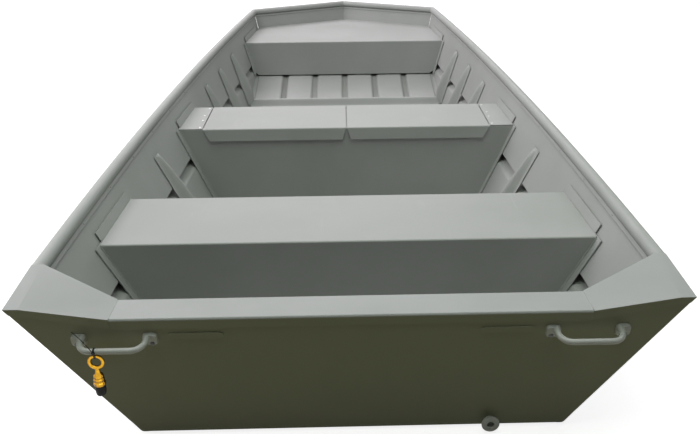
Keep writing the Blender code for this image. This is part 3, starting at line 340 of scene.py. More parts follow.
def brass_finish():
    """Brass: bright where it faces the eye, tarnished in spots, and with painted shade, red-brown,
    towards its edges.
    """
    brass = Finish("brass_finish", Metallic=1.0)
    spots = brass.noise(260.0, 5.0, 0.65).between(0.45, 0.72)
    edge = brass.node("ShaderNodeLayerWeight", {"Blend": 0.46}, out="Facing")
    # Painted shade: the colour darkens to red-brown where the surface turns away from the eye.
    colour = brass.mix(edge.between(0.06, 0.68), BRASS, BRASS_PAINTED_SHADE)
    brass.feed("Base Color", brass.mix(spots * 0.55, colour, BRASS_SPOT))
    brass.feed("Roughness", 0.16 + spots * 0.16)
    brass.bump(brass.noise(420.0, 3.0, 0.6), 0.00010)
    return brass.material


def black_finish(name, roughness, grain_scale, depth):
    """Black rubber or nylon: nearly black, with dusty greyer grain."""
    black = Finish(name, Specular_IOR_Level=0.22)
    grain = black.noise(grain_scale, 4.0, 0.6)
    dust = grain.between(0.55, 0.8)
    black.feed("Base Color", black.mix(dust, SOOT, SOOT_DUSTY))
    black.feed("Roughness", roughness + dust * 0.15)
    black.bump(grain, depth)
    return black.material


# Each coat is a material and the slot of the record that it stands for.
COATS = {
    "hull": (paint_finish("hull_paint_finish", 0.35), "hull_paint"),
    # The bottom's strake channels get painted shade.
    "bottom": (paint_finish("bottom_paint_finish", 0.35, STRAKE_PITCH), "hull_paint"),
    # The transom's outside is a less glossy, olive-tinted copy of the hull paint; the tint is painted
    # bounce light.
    "stern": (paint_finish("stern_paint_finish", 0.0, gloss=0.14, tint=PAINTED_BOUNCE_TINT), "hull_paint"),
    "seat": (paint_finish("seat_paint_finish", 0.55), "seat_paint"),
    # The cap is a lighter copy of the seat paint, which is painted light, and its down-facing skirts
    # get painted olive shade.
    "cap": (paint_finish("cap_paint_finish", 0.55, down_shade=(CAP_SKIRT_SHADE, 1.0, 0.04, 0.18),
                         gloss=0.14, tint=CAP_PAINTED_LIGHT), "seat_paint"),
    # The rails get painted shade on their down-facing undersides.
    "rail": (paint_finish("rail_paint_finish", 0.8, down_shade=(PAINTED_SHADE, 0.85, 0.15, 0.65)),
             "rail_paint"),
    "cast": (cast_finish(), "cast_handle"),
    "brass": (brass_finish(), "brass"),
    "hinge": (metal_finish("hinge_metal_finish", (0.62, 0.62, 0.60), (0.50, 0.50, 0.48), 0.28,
                           (0.05, 3, 3)), "hinge_metal"),
    "rivet": (metal_finish("rivet_finish", (0.74, 0.74, 0.73), (0.60, 0.60, 0.58), 0.30,
                           (1, 1, 1)), "hinge_metal"),
    # The bolt heads are near-black metal: painted shade that stands in for the dark surroundings a
    # steel head would mirror.
    "bolt": (metal_finish("bolt_finish", (0.085, 0.085, 0.08), (0.045, 0.045, 0.04), 0.38,
                          (1, 1, 1)), "hinge_metal"),
    "rubber": (black_finish("rubber_finish", 0.62, 500.0, 0.0002), "black_rubber"),
    "nylon": (black_finish("nylon_finish", 0.38, 900.0, 0.00005), "black_nylon"),
}
print("coats", len(COATS))

# %% [markdown]
# Flat and folded plates have their true shape in the CAD, but not the soft edges of sheared sheet
# that catch light. Each is copied, its triangles are merged into whole faces, and a narrow Bevel
# rounds what is sharp, with normals weighted to keep wide faces flat. The corner plates' lips are
# trimmed to what the photograph shows, and the lids' front lips stand out a little, for fingers.

# %% Flat and folded plates
EDGE_ROUNDING = 0.0007
THIN_ROUNDING = 0.0002
FOLD_ANGLE = math.radians(38)
MERGE = 1e-5
CORNER_LIP_X = 0.868
CORNER_LIP_Z = 0.480
CORNER_LIP_TRIM = 0.022
LID_KICK = 0.006
LID_LIP_DEPTH = 0.006
LID_LIP_FOOT = 0.004
FLAT_WITHIN = math.radians(0.4)


def finish_piece(obj, coat, body, stands_for):
    """Gives a piece its coat's material and its body, and hides the CAD nodes that it stands for."""
    material, slot = COATS[coat]
    obj.data.materials.append(material)
    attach(obj, body)
    if stands_for:
        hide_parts(*stands_for)
    return obj


def body_of(node):
    """Body that a CAD node rides on."""
    groups = frame["record"]["behaviour"]["bodies"]
    return next(body for body, members in groups.items() if node in members)


def adjust(node, at, low):
    """Trims the corner plates' outer lips, and kicks the lids' front lips out at the bottom."""
    if node.startswith("corner_plate") and abs(at.x) > CORNER_LIP_X and at.z < CORNER_LIP_Z:
        at.z += CORNER_LIP_TRIM
    if node.startswith("lid_") and at.y < low[1] + LID_LIP_DEPTH and at.z < low[2] + LID_LIP_FOOT:
        at.y -= LID_KICK


def softened(node, coat, rounding=EDGE_ROUNDING):
    """A copy of a CAD plate: doubles merged, coplanar faces joined, sharp edges rounded."""
    bm = bmesh.new()
    bm.from_mesh(frame["nodes"][node].data)
    bmesh.ops.remove_doubles(bm, verts=bm.verts, dist=MERGE)
    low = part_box(node)[0]
    for vert in bm.verts:
        adjust(node, vert.co, low)
    bmesh.ops.dissolve_limit(bm, angle_limit=FLAT_WITHIN, verts=bm.verts, edges=bm.edges)
    mesh = bpy.data.meshes.new(node + "_plate")
    bm.to_mesh(mesh)
    bm.free()
    mesh.shade_smooth()
    obj = bpy.data.objects.new(node + "_plate", mesh)
    bpy.context.scene.collection.objects.link(obj)
    bevel = obj.modifiers.new("Rounded edges", "BEVEL")
    bevel.width = rounding
    bevel.segments = 2
    bevel.limit_method = "ANGLE"
    bevel.angle_limit = FOLD_ANGLE
    obj.modifiers.new("Flat faces", "WEIGHTED_NORMAL").weight = 70
    return finish_piece(obj, coat, body_of(node), [node])


def both(*names):
    """Each name at port and at starboard."""
    return [name + side for name in names for side in ("_port", "_starboard")]


PLATES = {
    "stern": ["transom_skin", *both("transom_pad")],
    "hull": ["transom_inner_panel", "bow_panel", "stern_bench", "bow_bench",
             "middle_bench_front", "middle_bench_back", "locker_partition_port",
             "locker_partition_centre", "locker_partition_starboard",
             *both("stern_bench_flange", "middle_bench_flange", "bow_bench_flange")],
    "cap": ["transom_cap", *both("corner_plate")],
    "seat": both("lid", "middle_bench_end"),
    "hinge": both("hinge_bench_leaf", "hinge_lid_leaf"),
}
for coat, nodes in PLATES.items():
    for node in nodes:
        softened(node, coat, THIN_ROUNDING if coat == "hinge" else EDGE_ROUNDING)
print("plates", sum(len(nodes) for nodes in PLATES.values()))

# %% [markdown]
# The rest is worked out with numpy. A surface is a function of two parameters on a grid: rows run
# along the boat or along a path, columns run round a section. The helpers here turn such a grid into
# a mesh, give a plate its thickness, and close the ends of a tube.

# %% Grids into meshes
SMOOTH_ANGLE = 40
MERGE_SEAMS = 1e-6
SIDES = ((1, "starboard"), (-1, "port"))
TO_STARBOARD, TO_BOW, UPRIGHT = np.eye(3)


def cells(rows, columns, around=False, start=0):
    """Corner numbers of every cell of a grid; around joins the last column to the first."""
    last = columns if around else columns - 1
    i, j = np.meshgrid(np.arange(rows - 1), np.arange(last), indexing="ij")
    k = (j + 1) % columns
    corners = [i * columns + j, i * columns + k, (i + 1) * columns + k, (i + 1) * columns + j]
    return start + np.stack(corners, axis=-1).reshape(-1, 4)


def make_piece(name, shape, coat, stands_for=(), smooth=SMOOTH_ANGLE):
    """Puts points and four-cornered cells into a mesh, merges its seams and fills its ends."""
    mesh = bpy.data.meshes.new(name)
    mesh.from_pydata(shape[0], [], shape[1])
    bm = bmesh.new()
    bm.from_mesh(mesh)
    bmesh.ops.remove_doubles(bm, verts=bm.verts, dist=MERGE_SEAMS)
    bmesh.ops.holes_fill(bm, edges=[e for e in bm.edges if e.is_boundary])
    bmesh.ops.recalc_face_normals(bm, faces=bm.faces)
    bm.to_mesh(mesh)
    bm.free()
    mesh.shade_smooth()
    mesh.set_sharp_from_angle(angle=math.radians(smooth))
    obj = bpy.data.objects.new(name, mesh)
    bpy.context.scene.collection.objects.link(obj)
    return finish_piece(obj, coat, "hull", stands_for)


def plate_of(grid, thickness):
    """Both faces and the rim of a plate; the inner face is the grid less its normal."""
    normal = np.cross(np.gradient(grid, axis=1), np.gradient(grid, axis=0))
    normal /= np.linalg.norm(normal, axis=-1, keepdims=True)
    rows, columns = grid.shape[:2]
    count = rows * columns
    points = np.concatenate([grid.reshape(-1, 3), (grid - normal * thickness).reshape(-1, 3)])
    rim = np.concatenate([np.arange(columns - 1), np.arange(rows - 1) * columns + columns - 1,
                          count - 1 - np.arange(columns - 1),
                          (rows - 1 - np.arange(rows - 1)) * columns])
    ahead = np.roll(rim, -1)
    edge = np.stack([rim, ahead, ahead + count, rim + count], axis=-1)
    faces = [cells(rows, columns), cells(rows, columns, start=count)[:, ::-1], edge]
    return points, np.concatenate(faces)


def tube_of(grid):
    """Points and cells of a tube whose rows are rings."""
    return grid.reshape(-1, 3), cells(*grid.shape[:2], around=True)


def flipped(points, side):
    """Starboard points, or their mirror at port."""
    return points * np.array([side, 1.0, 1.0])


def mirrored(grid, side):
    """A starboard grid, or its mirror at port with the columns' order turned."""
    return grid if side > 0 else flipped(grid, side)[:, ::-1]


def xyz(x, y, z):
    """Points from their coordinates; a single number is repeated for all of them."""
    return np.stack(np.broadcast_arrays(x, y, z), axis=-1)


def unit(v):
    """Vectors divided by their own lengths."""
    v = np.asarray(v, dtype=float)
    return v / np.linalg.norm(v, axis=-1, keepdims=True)


def circle(count):
    """Cosines and sines of angles evenly round a circle."""
    a = np.linspace(0, 2 * math.pi, count, endpoint=False)
    return np.cos(a), np.sin(a)


def square_to(axes):
    """Two unit vectors square to each row of axes and to each other."""
    helper = np.where(np.abs(axes[:, :1]) > 0.9, [TO_BOW], [TO_STARBOARD])
    first = unit(np.cross(axes, helper))
    return first, np.cross(axes, first)


# %% [markdown]
# The hull's lines are a few curves along the boat: the keel rises in a parabola and goes on straight,
# the sheer is a shallow parabola, and the half beam falls with a power of the length. Stations are
# measured from the transom's foot. Beads, ribs, rivets and welds read the same curves.

# %% The hull's lines
FOOT_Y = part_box("hull_bottom")[0][1]
SHEET = 0.003
SEAT_GAP = 0.0003
SIDE_GAP = 0.0007
HULL_LENGTH = 3.975
HALF_BOTTOM = 0.610
BOTTOM_TAPER = 0.018
TAPER_START = 2.05
HALF_BEAM_STERN = 0.862
HALF_BEAM_BOW = 0.641
BEAM_POWER = 1.85
SHEER = (0.482, 0.500, 0.506)
RISE_START = 2.05
BOW_BENCH_Y = 3.444
BOW_RISE = 0.158
STRAKE_DEPTH = 0.012
TRANSOM_SLOPE = 0.2106
BOW_POINT = 0.320
BOW_SLOPE = 0.245
OVERHANG = TRANSOM_SLOPE * (SHEER[0] - STRAKE_DEPTH)


def fade(value, length):
    """Smooth step from 0 to 1 over a length: 3t^2 - 2t^3."""
    t = np.clip(value / length, 0.0, 1.0)
    return t * t * (3 - 2 * t)


def keel_z(y):
    """Parabola from the start of the rise to the bow bench, and its tangent beyond."""
    t = np.clip((y - RISE_START) / (BOW_BENCH_Y - RISE_START), 0.0, None)
    return STRAKE_DEPTH + BOW_RISE * np.where(t < 1, t * t, 2 * t - 1)


def sheer_half(y):
    """Half beam at the sheer: it falls with a power of the share of the length."""
    t = np.clip((y + OVERHANG) / (HULL_LENGTH + OVERHANG), 0.0, None)
    return HALF_BEAM_STERN - (HALF_BEAM_STERN - HALF_BEAM_BOW) * t ** BEAM_POWER


def chine_half(y):
    """Half width of the bottom: constant, then less by the square of the share forward."""
    t = np.clip((y - TAPER_START) / (HULL_LENGTH - TAPER_START), 0.0, None)
    return HALF_BOTTOM - BOTTOM_TAPER * t * t


def sheer_z(y):
    """Parabola through the sheer's three heights."""
    t = np.clip(y / HULL_LENGTH, 0.0, 1.0)
    return SHEER[0] * (1 - t) * (1 - 2 * t) + SHEER[1] * 4 * t * (1 - t) + SHEER[2] * t * (2 * t - 1)


def lean_of(y):
    """Flare angle of the side from upright."""
    return np.arctan((sheer_half(y) - chine_half(y)) / (sheer_z(y) - keel_z(y)))


def wall_half(y, z, inset=0.0):
    """Half width between the sides at a height, inset square to them."""
    lean = lean_of(y)
    return chine_half(y) + (z - keel_z(y)) * np.tan(lean) - inset / np.cos(lean)


def side_point(y, climb, out):
    """Starboard point: climb up the side from the chine corner, out beyond its face."""
    lean = lean_of(y)
    x = chine_half(y) + climb * np.sin(lean) + out * np.cos(lean)
    z = keel_z(y) + climb * np.cos(lean) - out * np.sin(lean)
    return xyz(x, y, z)


def transom_y(z, out=0.0):
    """The transom's plane: y falls with height by its slope, and out is square to it."""
    return -(z - STRAKE_DEPTH) * TRANSOM_SLOPE - out * math.hypot(1.0, TRANSOM_SLOPE)


def bow_y(x, z, inset=0.0):
    """The bow panel's plane: y falls with the distance off the middle and with depth."""
    fall = BOW_POINT / HALF_BEAM_BOW
    steep = math.sqrt(1 + fall ** 2 + BOW_SLOPE ** 2)
    return HULL_LENGTH + BOW_POINT - fall * np.abs(x) - BOW_SLOPE * (SHEER[2] - z) - inset * steep


def placed(points):
    """From stations at the transom's foot to the frame's own zero."""
    return points + TO_BOW * FOOT_Y


print("foot of the transom at", round(FOOT_Y, 4))

# %% [markdown]
# The bottom has five strakes, pressed down lengthwise to stiffen it and to run straight. Seen from
# inside they are shallow channels with soft shoulders. The plate is one grid: columns are dense at
# each strake, and the pressing fades out at the transom and in the bow.

# %% Bottom plate
STRAKES = 5
STRAKE_HALF_MOUTH = 0.028
STRAKE_HALF_FLAT = 0.010
STRAKE_GRID_REACH = 1.15
STRAKE_SOFTNESS = 1.05
STRAKE_FADE = 0.10
CHINE_RADIUS = 0.010
CHINE_LAP = 0.012
VEE_START = BOW_BENCH_Y + 0.11


def chine_tangent(y):
    """From the chine's corner to the start of its arc: radius over tan of half its angle."""
    return CHINE_RADIUS / np.tan((math.pi / 2 + lean_of(y)) / 2)


def bottom_edge(y):
    """Half width of the bottom plate, which stops short of the side plate's lap."""
    return chine_half(y) - chine_tangent(y) - CHINE_LAP - SEAT_GAP


def bottom_grid():
    """Outer face: height is the keel line less the strakes' depth, a smooth trapezoid in x."""
    offsets = np.linspace(-STRAKE_HALF_MOUTH, STRAKE_HALF_MOUTH, 17) * STRAKE_GRID_REACH
    centres = (np.arange(STRAKES) - (STRAKES - 1) / 2) * STRAKE_PITCH
    strake_x = (centres[:, None] + offsets[None, :]).ravel()
    near = np.min(np.abs(strake_x[:, None] - centres[None, :]), axis=1)
    mouth = STRAKE_HALF_MOUTH * STRAKE_SOFTNESS
    shoulder = (mouth - near) / (mouth - STRAKE_HALF_FLAT)
    pressed = np.concatenate([[0.0], fade(shoulder, 1.0), [0.0]])
    run = np.concatenate([np.linspace(0, STRAKE_FADE, 10),
                          np.linspace(STRAKE_FADE, VEE_START, 60)[1:],
                          np.linspace(VEE_START, HULL_LENGTH, 20)[1:]])
    aft = run <= VEE_START
    share = np.clip((run - VEE_START) / (HULL_LENGTH - VEE_START), 0, 1)[:, None]
    y = np.repeat(run[:, None], len(pressed), axis=1)
    for _ in range(8):
        edge = bottom_edge(y)
        x = np.concatenate([-edge[:, :1], np.repeat(strake_x[None, :], len(run), axis=0),
                            edge[:, -1:]], axis=1)
        end = bow_y(x, keel_z(y), SHEET + SEAT_GAP)
        for _ in range(4):
            end = bow_y(x, keel_z(end), SHEET + SEAT_GAP)
        y = np.where(aft[:, None], run[:, None], VEE_START + (end - VEE_START) * share)
    depth = STRAKE_DEPTH * fade(run, STRAKE_FADE)[:, None] * fade(1 - share, 0.5) * pressed
    return xyz(x, y, keel_z(y) - depth)


grid = placed(bottom_grid())[:, ::-1]
bottom = make_piece("bottom_plate", plate_of(grid, SHEET), "bottom", ["hull_bottom"])
print("bottom plate", len(bottom.data.polygons), "faces")

# %% [markdown]
# Each side is one plate: a lap under the bottom, a small chine radius, the lower wall, one pressed
# bead, and the upper wall. The bead bulges outward, so from inside it is a channel: a steep upper
# flank that lies in its own shade, and a long lower flank that catches the light.

# %% Side plates
BEAD_STERN_HEIGHT = 0.280
BEAD_FALL = 0.010
BEAD_ABOVE_CHINE = 0.078
BEAD_TURN = 0.030
BEAD_DEPTH = 0.034
BEAD_WIDTH = 0.055
BEAD_CREST = 0.24
BEAD_FADE = 0.12
STATION = 0.12


def bead_top(y):
    """Falls gently forward, then turns up, on a parabola, to stay clear of the chine."""
    falling = BEAD_STERN_HEIGHT - BEAD_FALL * y
    short = keel_z(y) + BEAD_ABOVE_CHINE - falling
    turn = np.clip(short + BEAD_TURN, 0, None) ** 2 / (4 * BEAD_TURN)
    return falling + np.where(short >= BEAD_TURN, short, turn)


def bead_shape(below):
    """Depth share below the bead's upper break: a quarter sine down, then a long half cosine."""
    steep = np.sin(math.pi / 2 * np.clip(below / BEAD_CREST, 0, 1))
    long = 0.5 + 0.5 * np.cos(math.pi * (below - BEAD_CREST) / (1 - BEAD_CREST))
    return np.where(below < BEAD_CREST, steep, long)


def side_section(y):
    """Outer face for stations y, one column each: lap, chine arc, wall, bead and upper wall."""
    lean, tangent = lean_of(y), chine_tangent(y)
    corner, base = chine_half(y), keel_z(y)
    columns = [xyz(corner - tangent - CHINE_LAP, y, base)]
    for share in np.linspace(0, 1, 6):
        a = -math.pi / 2 + (math.pi / 2 - lean) * share
        columns.append(xyz(corner - tangent + CHINE_RADIUS * np.cos(a), y,
                           base + CHINE_RADIUS * (1 + np.sin(a))))
    top = (bead_top(y) - base) / np.cos(lean)
    full = (sheer_z(y) - base) / np.cos(lean)
    grown = fade(y, BEAD_FADE) * fade(HULL_LENGTH - STATION / 2 - y, BEAD_FADE)
    low = top - BEAD_WIDTH
    columns += [side_point(y, tangent + (low - tangent) * share, 0.0) for share in (0.33, 0.67)]
    for below in np.linspace(1, 0, 19):
        columns.append(side_point(y, top - below * BEAD_WIDTH,
                                  bead_shape(below) * BEAD_DEPTH * grown))
    columns += [side_point(y, top + (full - top) * share, 0.0)
                for share in (0.06, 0.3, 0.55, 0.8, 1.0)]
    return np.stack(columns, axis=-2)


def side_grid():
    """Rows run from the transom's plane to the bow panel's, whatever a column's height."""
    columns = side_section(np.array([0.0])).shape[1]
    pick = np.arange(columns)
    aft = np.zeros(columns)
    fore = np.full(columns, HULL_LENGTH)
    for _ in range(8):
        aft = transom_y(side_section(aft)[pick, pick, 2])
        ahead = side_section(fore)[pick, pick]
        fore = bow_y(ahead[:, 0], ahead[:, 2], SHEET + SEAT_GAP)
    return np.stack([side_section(aft + (fore - aft) * share)[pick, pick]
                     for share in np.linspace(0, 1, 150)])


starboard_side = side_grid()
for side, word in SIDES:
    make_piece("side_plate_" + word, plate_of(placed(mirrored(starboard_side, side)), SHEET),
               "hull", ["side_" + word], smooth=60)
print("side plates", starboard_side.shape, "grid")

# %% [markdown]
# The gunwale is one extrusion: a round bead with a slot for the plate's edge, and a leg down inside.
# The light along the bead draws the boat's outline, so it has many columns. Its end sections are cut
# to the planes where it meets the corner plate and the bow rail.

# %% Gunwales and bow rails
RAIL_RADIUS = 0.0215
RAIL_OFFSET = 0.002
RAIL_LEG = 0.033
RAIL_LEG_THICKNESS = 0.0025
RAIL_SLOT_DEPTH = 0.012
CORNER_REACH = 0.098
CORNER_LAP = 0.006
CAP_HALF_LENGTH = 0.622
CAP_BOX_DEPTH = 0.0035
CAP_INNER_Y = CAP_BOX_DEPTH + SEAT_GAP + SHEET
GUNWALE_START = CORNER_REACH + 0.06
STEP = 0.01


def rail_outline():
    """Across and up from the plate's top edge: a round bead, then the inner leg and slot."""
    inner = -(SHEET + SIDE_GAP)
    leg = inner - RAIL_LEG_THICKNESS
    turn = 2 * math.pi - math.acos((leg - RAIL_OFFSET) / RAIL_RADIUS)
    a = np.linspace(math.radians(-70), turn, 36)
    bead = np.stack([RAIL_OFFSET + RAIL_RADIUS * np.cos(a), RAIL_RADIUS * np.sin(a)], axis=-1)
    rest = np.array([(leg, -RAIL_LEG + 0.0008), (leg + 0.0008, -RAIL_LEG), (inner, -RAIL_LEG),
                     (inner, SEAT_GAP), (SIDE_GAP, SEAT_GAP), (SIDE_GAP, -RAIL_SLOT_DEPTH)])
    return np.concatenate([bead, rest])


def rail_rings(edge, out, lean):
    """The rail's outline at each edge point, turned to the plate's lean."""
    lean = np.asarray(lean)[..., None]
    upward = out * np.sin(lean) + UPRIGHT * np.cos(lean)
    across = out * np.cos(lean) - UPRIGHT * np.sin(lean)
    outline = rail_outline()
    return (edge[:, None] + across[:, None] * outline[None, :, :1]
            + upward[:, None] * outline[None, :, 1:])


def slid(ring, run, point, normal):
    """Slides each point of a ring along a direction on to a plane."""
    return ring + run * (((point - ring) @ normal) / (run @ normal))[:, None]


def edge_points(y):
    """The side plate's top edge: half beam, station and height of the sheer."""
    return xyz(sheer_half(y), y, sheer_z(y))


def edge_run(y):
    """Direction of the plate's top edge, looking forward."""
    return unit(edge_points(y) - edge_points(y - STEP))


BOW_CORNER = np.array([HALF_BEAM_BOW, HULL_LENGTH, SHEER[2]])
PANEL_RUN = unit([-HALF_BEAM_BOW, BOW_POINT, 0])
MITRE = unit(PANEL_RUN + edge_run(HULL_LENGTH))


def gunwale_rings():
    """Rings from the corner plate's edge at the stern to the mitre at the bow."""
    y = np.linspace(GUNWALE_START, HULL_LENGTH, 90)
    slope = (sheer_half(y + STEP) - sheer_half(y - STEP)) / (2 * STEP)
    rings = rail_rings(edge_points(y), unit(xyz(1.0, -slope, 0.0)), lean_of(y))
    stern = slid(rings[0], edge_run(GUNWALE_START), TO_BOW * (CORNER_REACH - CORNER_LAP), TO_BOW)
    rings[-1] = slid(rings[-1], edge_run(HULL_LENGTH), BOW_CORNER - MITRE * SEAT_GAP / 2, MITRE)
    return np.concatenate([stern[None], rings])


def bow_rail_rings():
    """Rings along the bow panel's top, from the mitre to the middle of the boat."""
    outward = np.array([PANEL_RUN[1], -PANEL_RUN[0], 0])
    ring = rail_rings(BOW_CORNER[None], outward[None], [math.atan(BOW_SLOPE * outward[1])])[0]
    first = slid(ring, PANEL_RUN, BOW_CORNER + MITRE * SEAT_GAP / 2, MITRE)
    last = slid(ring, PANEL_RUN, TO_STARBOARD * SEAT_GAP / 2, TO_STARBOARD)
    return np.stack([first + (last - first) * t for t in np.linspace(0, 1, 7)])


rings, bow_rings = gunwale_rings(), bow_rail_rings()
for side, word in SIDES:
    for name, node, grid in (("gunwale_bead_", "gunwale_", rings),
                             ("bow_bead_", "bow_rail_", bow_rings)):
        make_piece(name + word, tube_of(placed(mirrored(grid, side))), "rail", [node + word],
                   smooth=30)
print("gunwale rings", rings.shape)

# %% [markdown]
# A rib is a strip pressed into a hat: two feet, two sloping webs and a rounded crown. Across the
# bottom it is straight. Up each side it swells into a knee, then sinks to a point. One outline serves
# both, and its shoulders are smooth steps, so they shade like pressed metal.

# %% Ribs
AFT_RIB_Y = 1.265
FORE_RIB_Y = 2.330
FORE_RIB_PITCH = 0.355
FORE_RIB_COUNT = 3
RIB_HEIGHT = 0.036
RIB_HALF_FOOT = 0.042
RIB_HALF_BASE = 0.025
RIB_SWELL_BASE = 0.0125
RIB_SWELL = 0.45
RIB_SWELL_RUN = 0.16
RIB_TIP = 0.40
RIB_SHOULDER = 0.003
RIB_TOE = 0.004
RIB_HALF_CROWN = 0.010
RIB_FOOT = 0.0006
RIB_BELOW_SHEER = 0.092


def floor_top(y):
    """Height of the bottom plate's upper face, with the gap that parts sit on."""
    return keel_z(y) + SHEET + SEAT_GAP


def rib_outline(height, swell=0.0):
    """Closed hat outline (along, up): a flat underside, then foot, web, crown, web and foot."""
    share = np.clip(height / RIB_HEIGHT, 0, 1)
    narrowed = RIB_TIP + (1 - RIB_TIP) * share
    base = (RIB_HALF_BASE + RIB_SWELL_BASE * swell) * narrowed
    crown = RIB_HALF_CROWN * narrowed
    rise = max(height, RIB_FOOT * 1.6)
    web = np.linspace(-1, 1, 39) * (base + RIB_TOE)
    along = np.concatenate([[-RIB_HALF_FOOT], web, [RIB_HALF_FOOT]])
    base += RIB_SHOULDER
    t = (base - np.abs(along)) / (base - crown * 0.35)
    over = RIB_FOOT + (rise - RIB_FOOT) * fade(t, 1.0)
    top = np.stack([along, over], axis=-1)
    under = np.array([(RIB_HALF_FOOT, 0.0), (-RIB_HALF_FOOT, 0.0)])
    return np.concatenate([top, under])


def mitre_back(station, height):
    """Set-back from the chine corner at a height above the plating."""
    corner = 1 / math.tan((math.pi / 2 + float(lean_of(station))) / 2)
    return np.maximum(height * corner, (CHINE_RADIUS - SHEET) * corner) + SEAT_GAP


def rib_rings(station):
    """Rings of the floor rib from port to starboard, and of the starboard side rib upwards."""
    outline = rib_outline(RIB_HEIGHT)
    y = station + outline[:, 0]
    inner = wall_half(y, floor_top(y), SHEET + SEAT_GAP) - mitre_back(station, outline[:, 1])
    floor = np.stack([xyz(inner * s, y, floor_top(y) + outline[:, 1])
                      for s in np.linspace(-1, 1, 9)])
    tilt = float(lean_of(station))
    length = float(sheer_z(station) - RIB_BELOW_SHEER - floor_top(station)) / math.cos(tilt)
    upward = []
    for t in 1 - np.linspace(1, 0, 18) ** 1.6:
        swell = float(fade(t, RIB_SWELL_RUN))
        outline = rib_outline(RIB_HEIGHT * math.sqrt(1 - t) * (1 + RIB_SWELL * swell), swell)
        y = station + outline[:, 0]
        climb = (SHEET + SEAT_GAP) / math.cos(tilt) + length * t
        climb = climb + mitre_back(station, outline[:, 1]) * (1 - t)
        upward.append(side_point(y, climb, -(SHEET + SIDE_GAP + outline[:, 1])))
    return floor, np.stack(upward)


rib_places = [AFT_RIB_Y] + [FORE_RIB_Y + k * FORE_RIB_PITCH for k in range(FORE_RIB_COUNT)]
for number, station in enumerate(rib_places, start=1):
    floor, upward = rib_rings(station)
    make_piece("floor_hat_%d" % number, tube_of(placed(floor)), "hull", ["floor_rib_%d" % number],
               smooth=50)
    for side, word in SIDES:
        name = "%d_%s" % (number, word)
        make_piece("side_hat_" + name, tube_of(placed(mirrored(upward, side))), "hull",
                   ["side_rib_" + name], smooth=50)
print("ribs at", [round(s, 3) for s in rib_places])

# %% [markdown]
# The transom carries two cast handles. A round bar bends out of a flat foot at each end, swells a
# little where it meets the foot, and is held by dome-headed bolts. A sweep carries a ring along a
# path that lies in one plane.

# %% Handles
HANDLE_SPAN = 0.168
HANDLE_Z = 0.390
HANDLE_STANDOFF = 0.055
HANDLE_RADIUS = 0.008
HANDLE_BEND = 0.034
FOOT_WIDTH = 0.038
FOOT_OUTWARD = 0.008
FOOT_HEIGHT = 0.036
FOOT_THICKNESS = 0.011
FOOT_DROP = 0.008
FOOT_SQUARENESS = 0.45
HANDLE_SWELL = 0.35
HANDLE_SWELL_RUN = 0.006
BOLT_FROM_BAR = 0.013
BOLT_DROP = 0.019
BOLT_RADIUS = 0.0048
LEAN = math.atan(TRANSOM_SLOPE)
OUT = np.array([0, -math.cos(LEAN), -math.sin(LEAN)])
UP = np.array([0, -math.sin(LEAN), math.cos(LEAN)])


def swept(path, across, radius, around=16):
    """Rings of a bar along a path that lies in a plane; its radius may change on the way."""
    ahead = unit(np.gradient(path, axis=0))
    side = unit(np.cross(across, ahead))
    third = np.cross(ahead, side)
    wide, high = circle(around)
    radius = np.broadcast_to(np.asarray(radius, dtype=float), (len(path),))[:, None, None]
    spokes = side[:, None] * wide[:, None] + third[:, None] * high[:, None]
    return path[:, None] + spokes * radius


def dome_ends(grid):
    """Draws the first and last ring in to a point, so that the tube is closed."""
    first = np.repeat(grid[:1].mean(axis=1, keepdims=True), grid.shape[1], axis=1)
    last = np.repeat(grid[-1:].mean(axis=1, keepdims=True), grid.shape[1], axis=1)
    return np.concatenate([first, grid, last])


def bar(path, across, radius, around=16):
    """A swept bar with closed ends."""
    return tube_of(dome_ends(swept(path, across, radius, around)))


def joined(*parts):
    """Several sets of points and cells as one mesh."""
    points = np.concatenate([p for p, _ in parts])
    starts = np.cumsum([0] + [len(p) for p, _ in parts[:-1]])
    return points, np.concatenate([q + s for (_, q), s in zip(parts, starts)])


def handle_centre(side):
    """Middle between a handle's feet, on the transom's outer face."""
    face = SEAT_GAP + SHEET + SEAT_GAP
    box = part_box("handle_starboard")
    return np.array([side * (box[0][0] + box[1][0]) / 2, transom_y(HANDLE_Z, face), HANDLE_Z])


def handle_path(centre):
    """Out of one foot, round a quarter circle, along, and back into the other foot."""
    half = HANDLE_SPAN / 2
    a = np.linspace(0, math.pi / 2, 9)
    leg = np.concatenate([[FOOT_THICKNESS * 0.3], np.linspace(FOOT_THICKNESS,
                          HANDLE_STANDOFF - HANDLE_BEND, 5)[:-1],
                          HANDLE_STANDOFF - HANDLE_BEND + HANDLE_BEND * np.sin(a)])
    across = np.concatenate([np.full(5, half), half - HANDLE_BEND * (1 - np.cos(a))])
    one = across[:, None] * TO_STARBOARD + leg[:, None] * OUT
    return centre + np.concatenate([one, flipped(one[::-1], -1)])


def handle_foot(centre, end):
    """A rounded tab as rings from its face on the transom to its domed front."""
    middle = centre + TO_STARBOARD * end * (HANDLE_SPAN / 2 + FOOT_OUTWARD) - UP * FOOT_DROP
    wide, high = (np.sign(v) * np.abs(v) ** FOOT_SQUARENESS for v in circle(32))
    outline = (wide[:, None] * TO_STARBOARD * FOOT_WIDTH / 2
               + high[:, None] * UP * FOOT_HEIGHT / 2)
    rings = [middle + outline * shrink + OUT * FOOT_THICKNESS * rise
             for shrink, rise in ((1.0, 0.0), (1.0, 0.65), (0.97, 0.88), (0.90, 1.0), (0.5, 1.08))]
    return tube_of(dome_ends(np.stack(rings)))


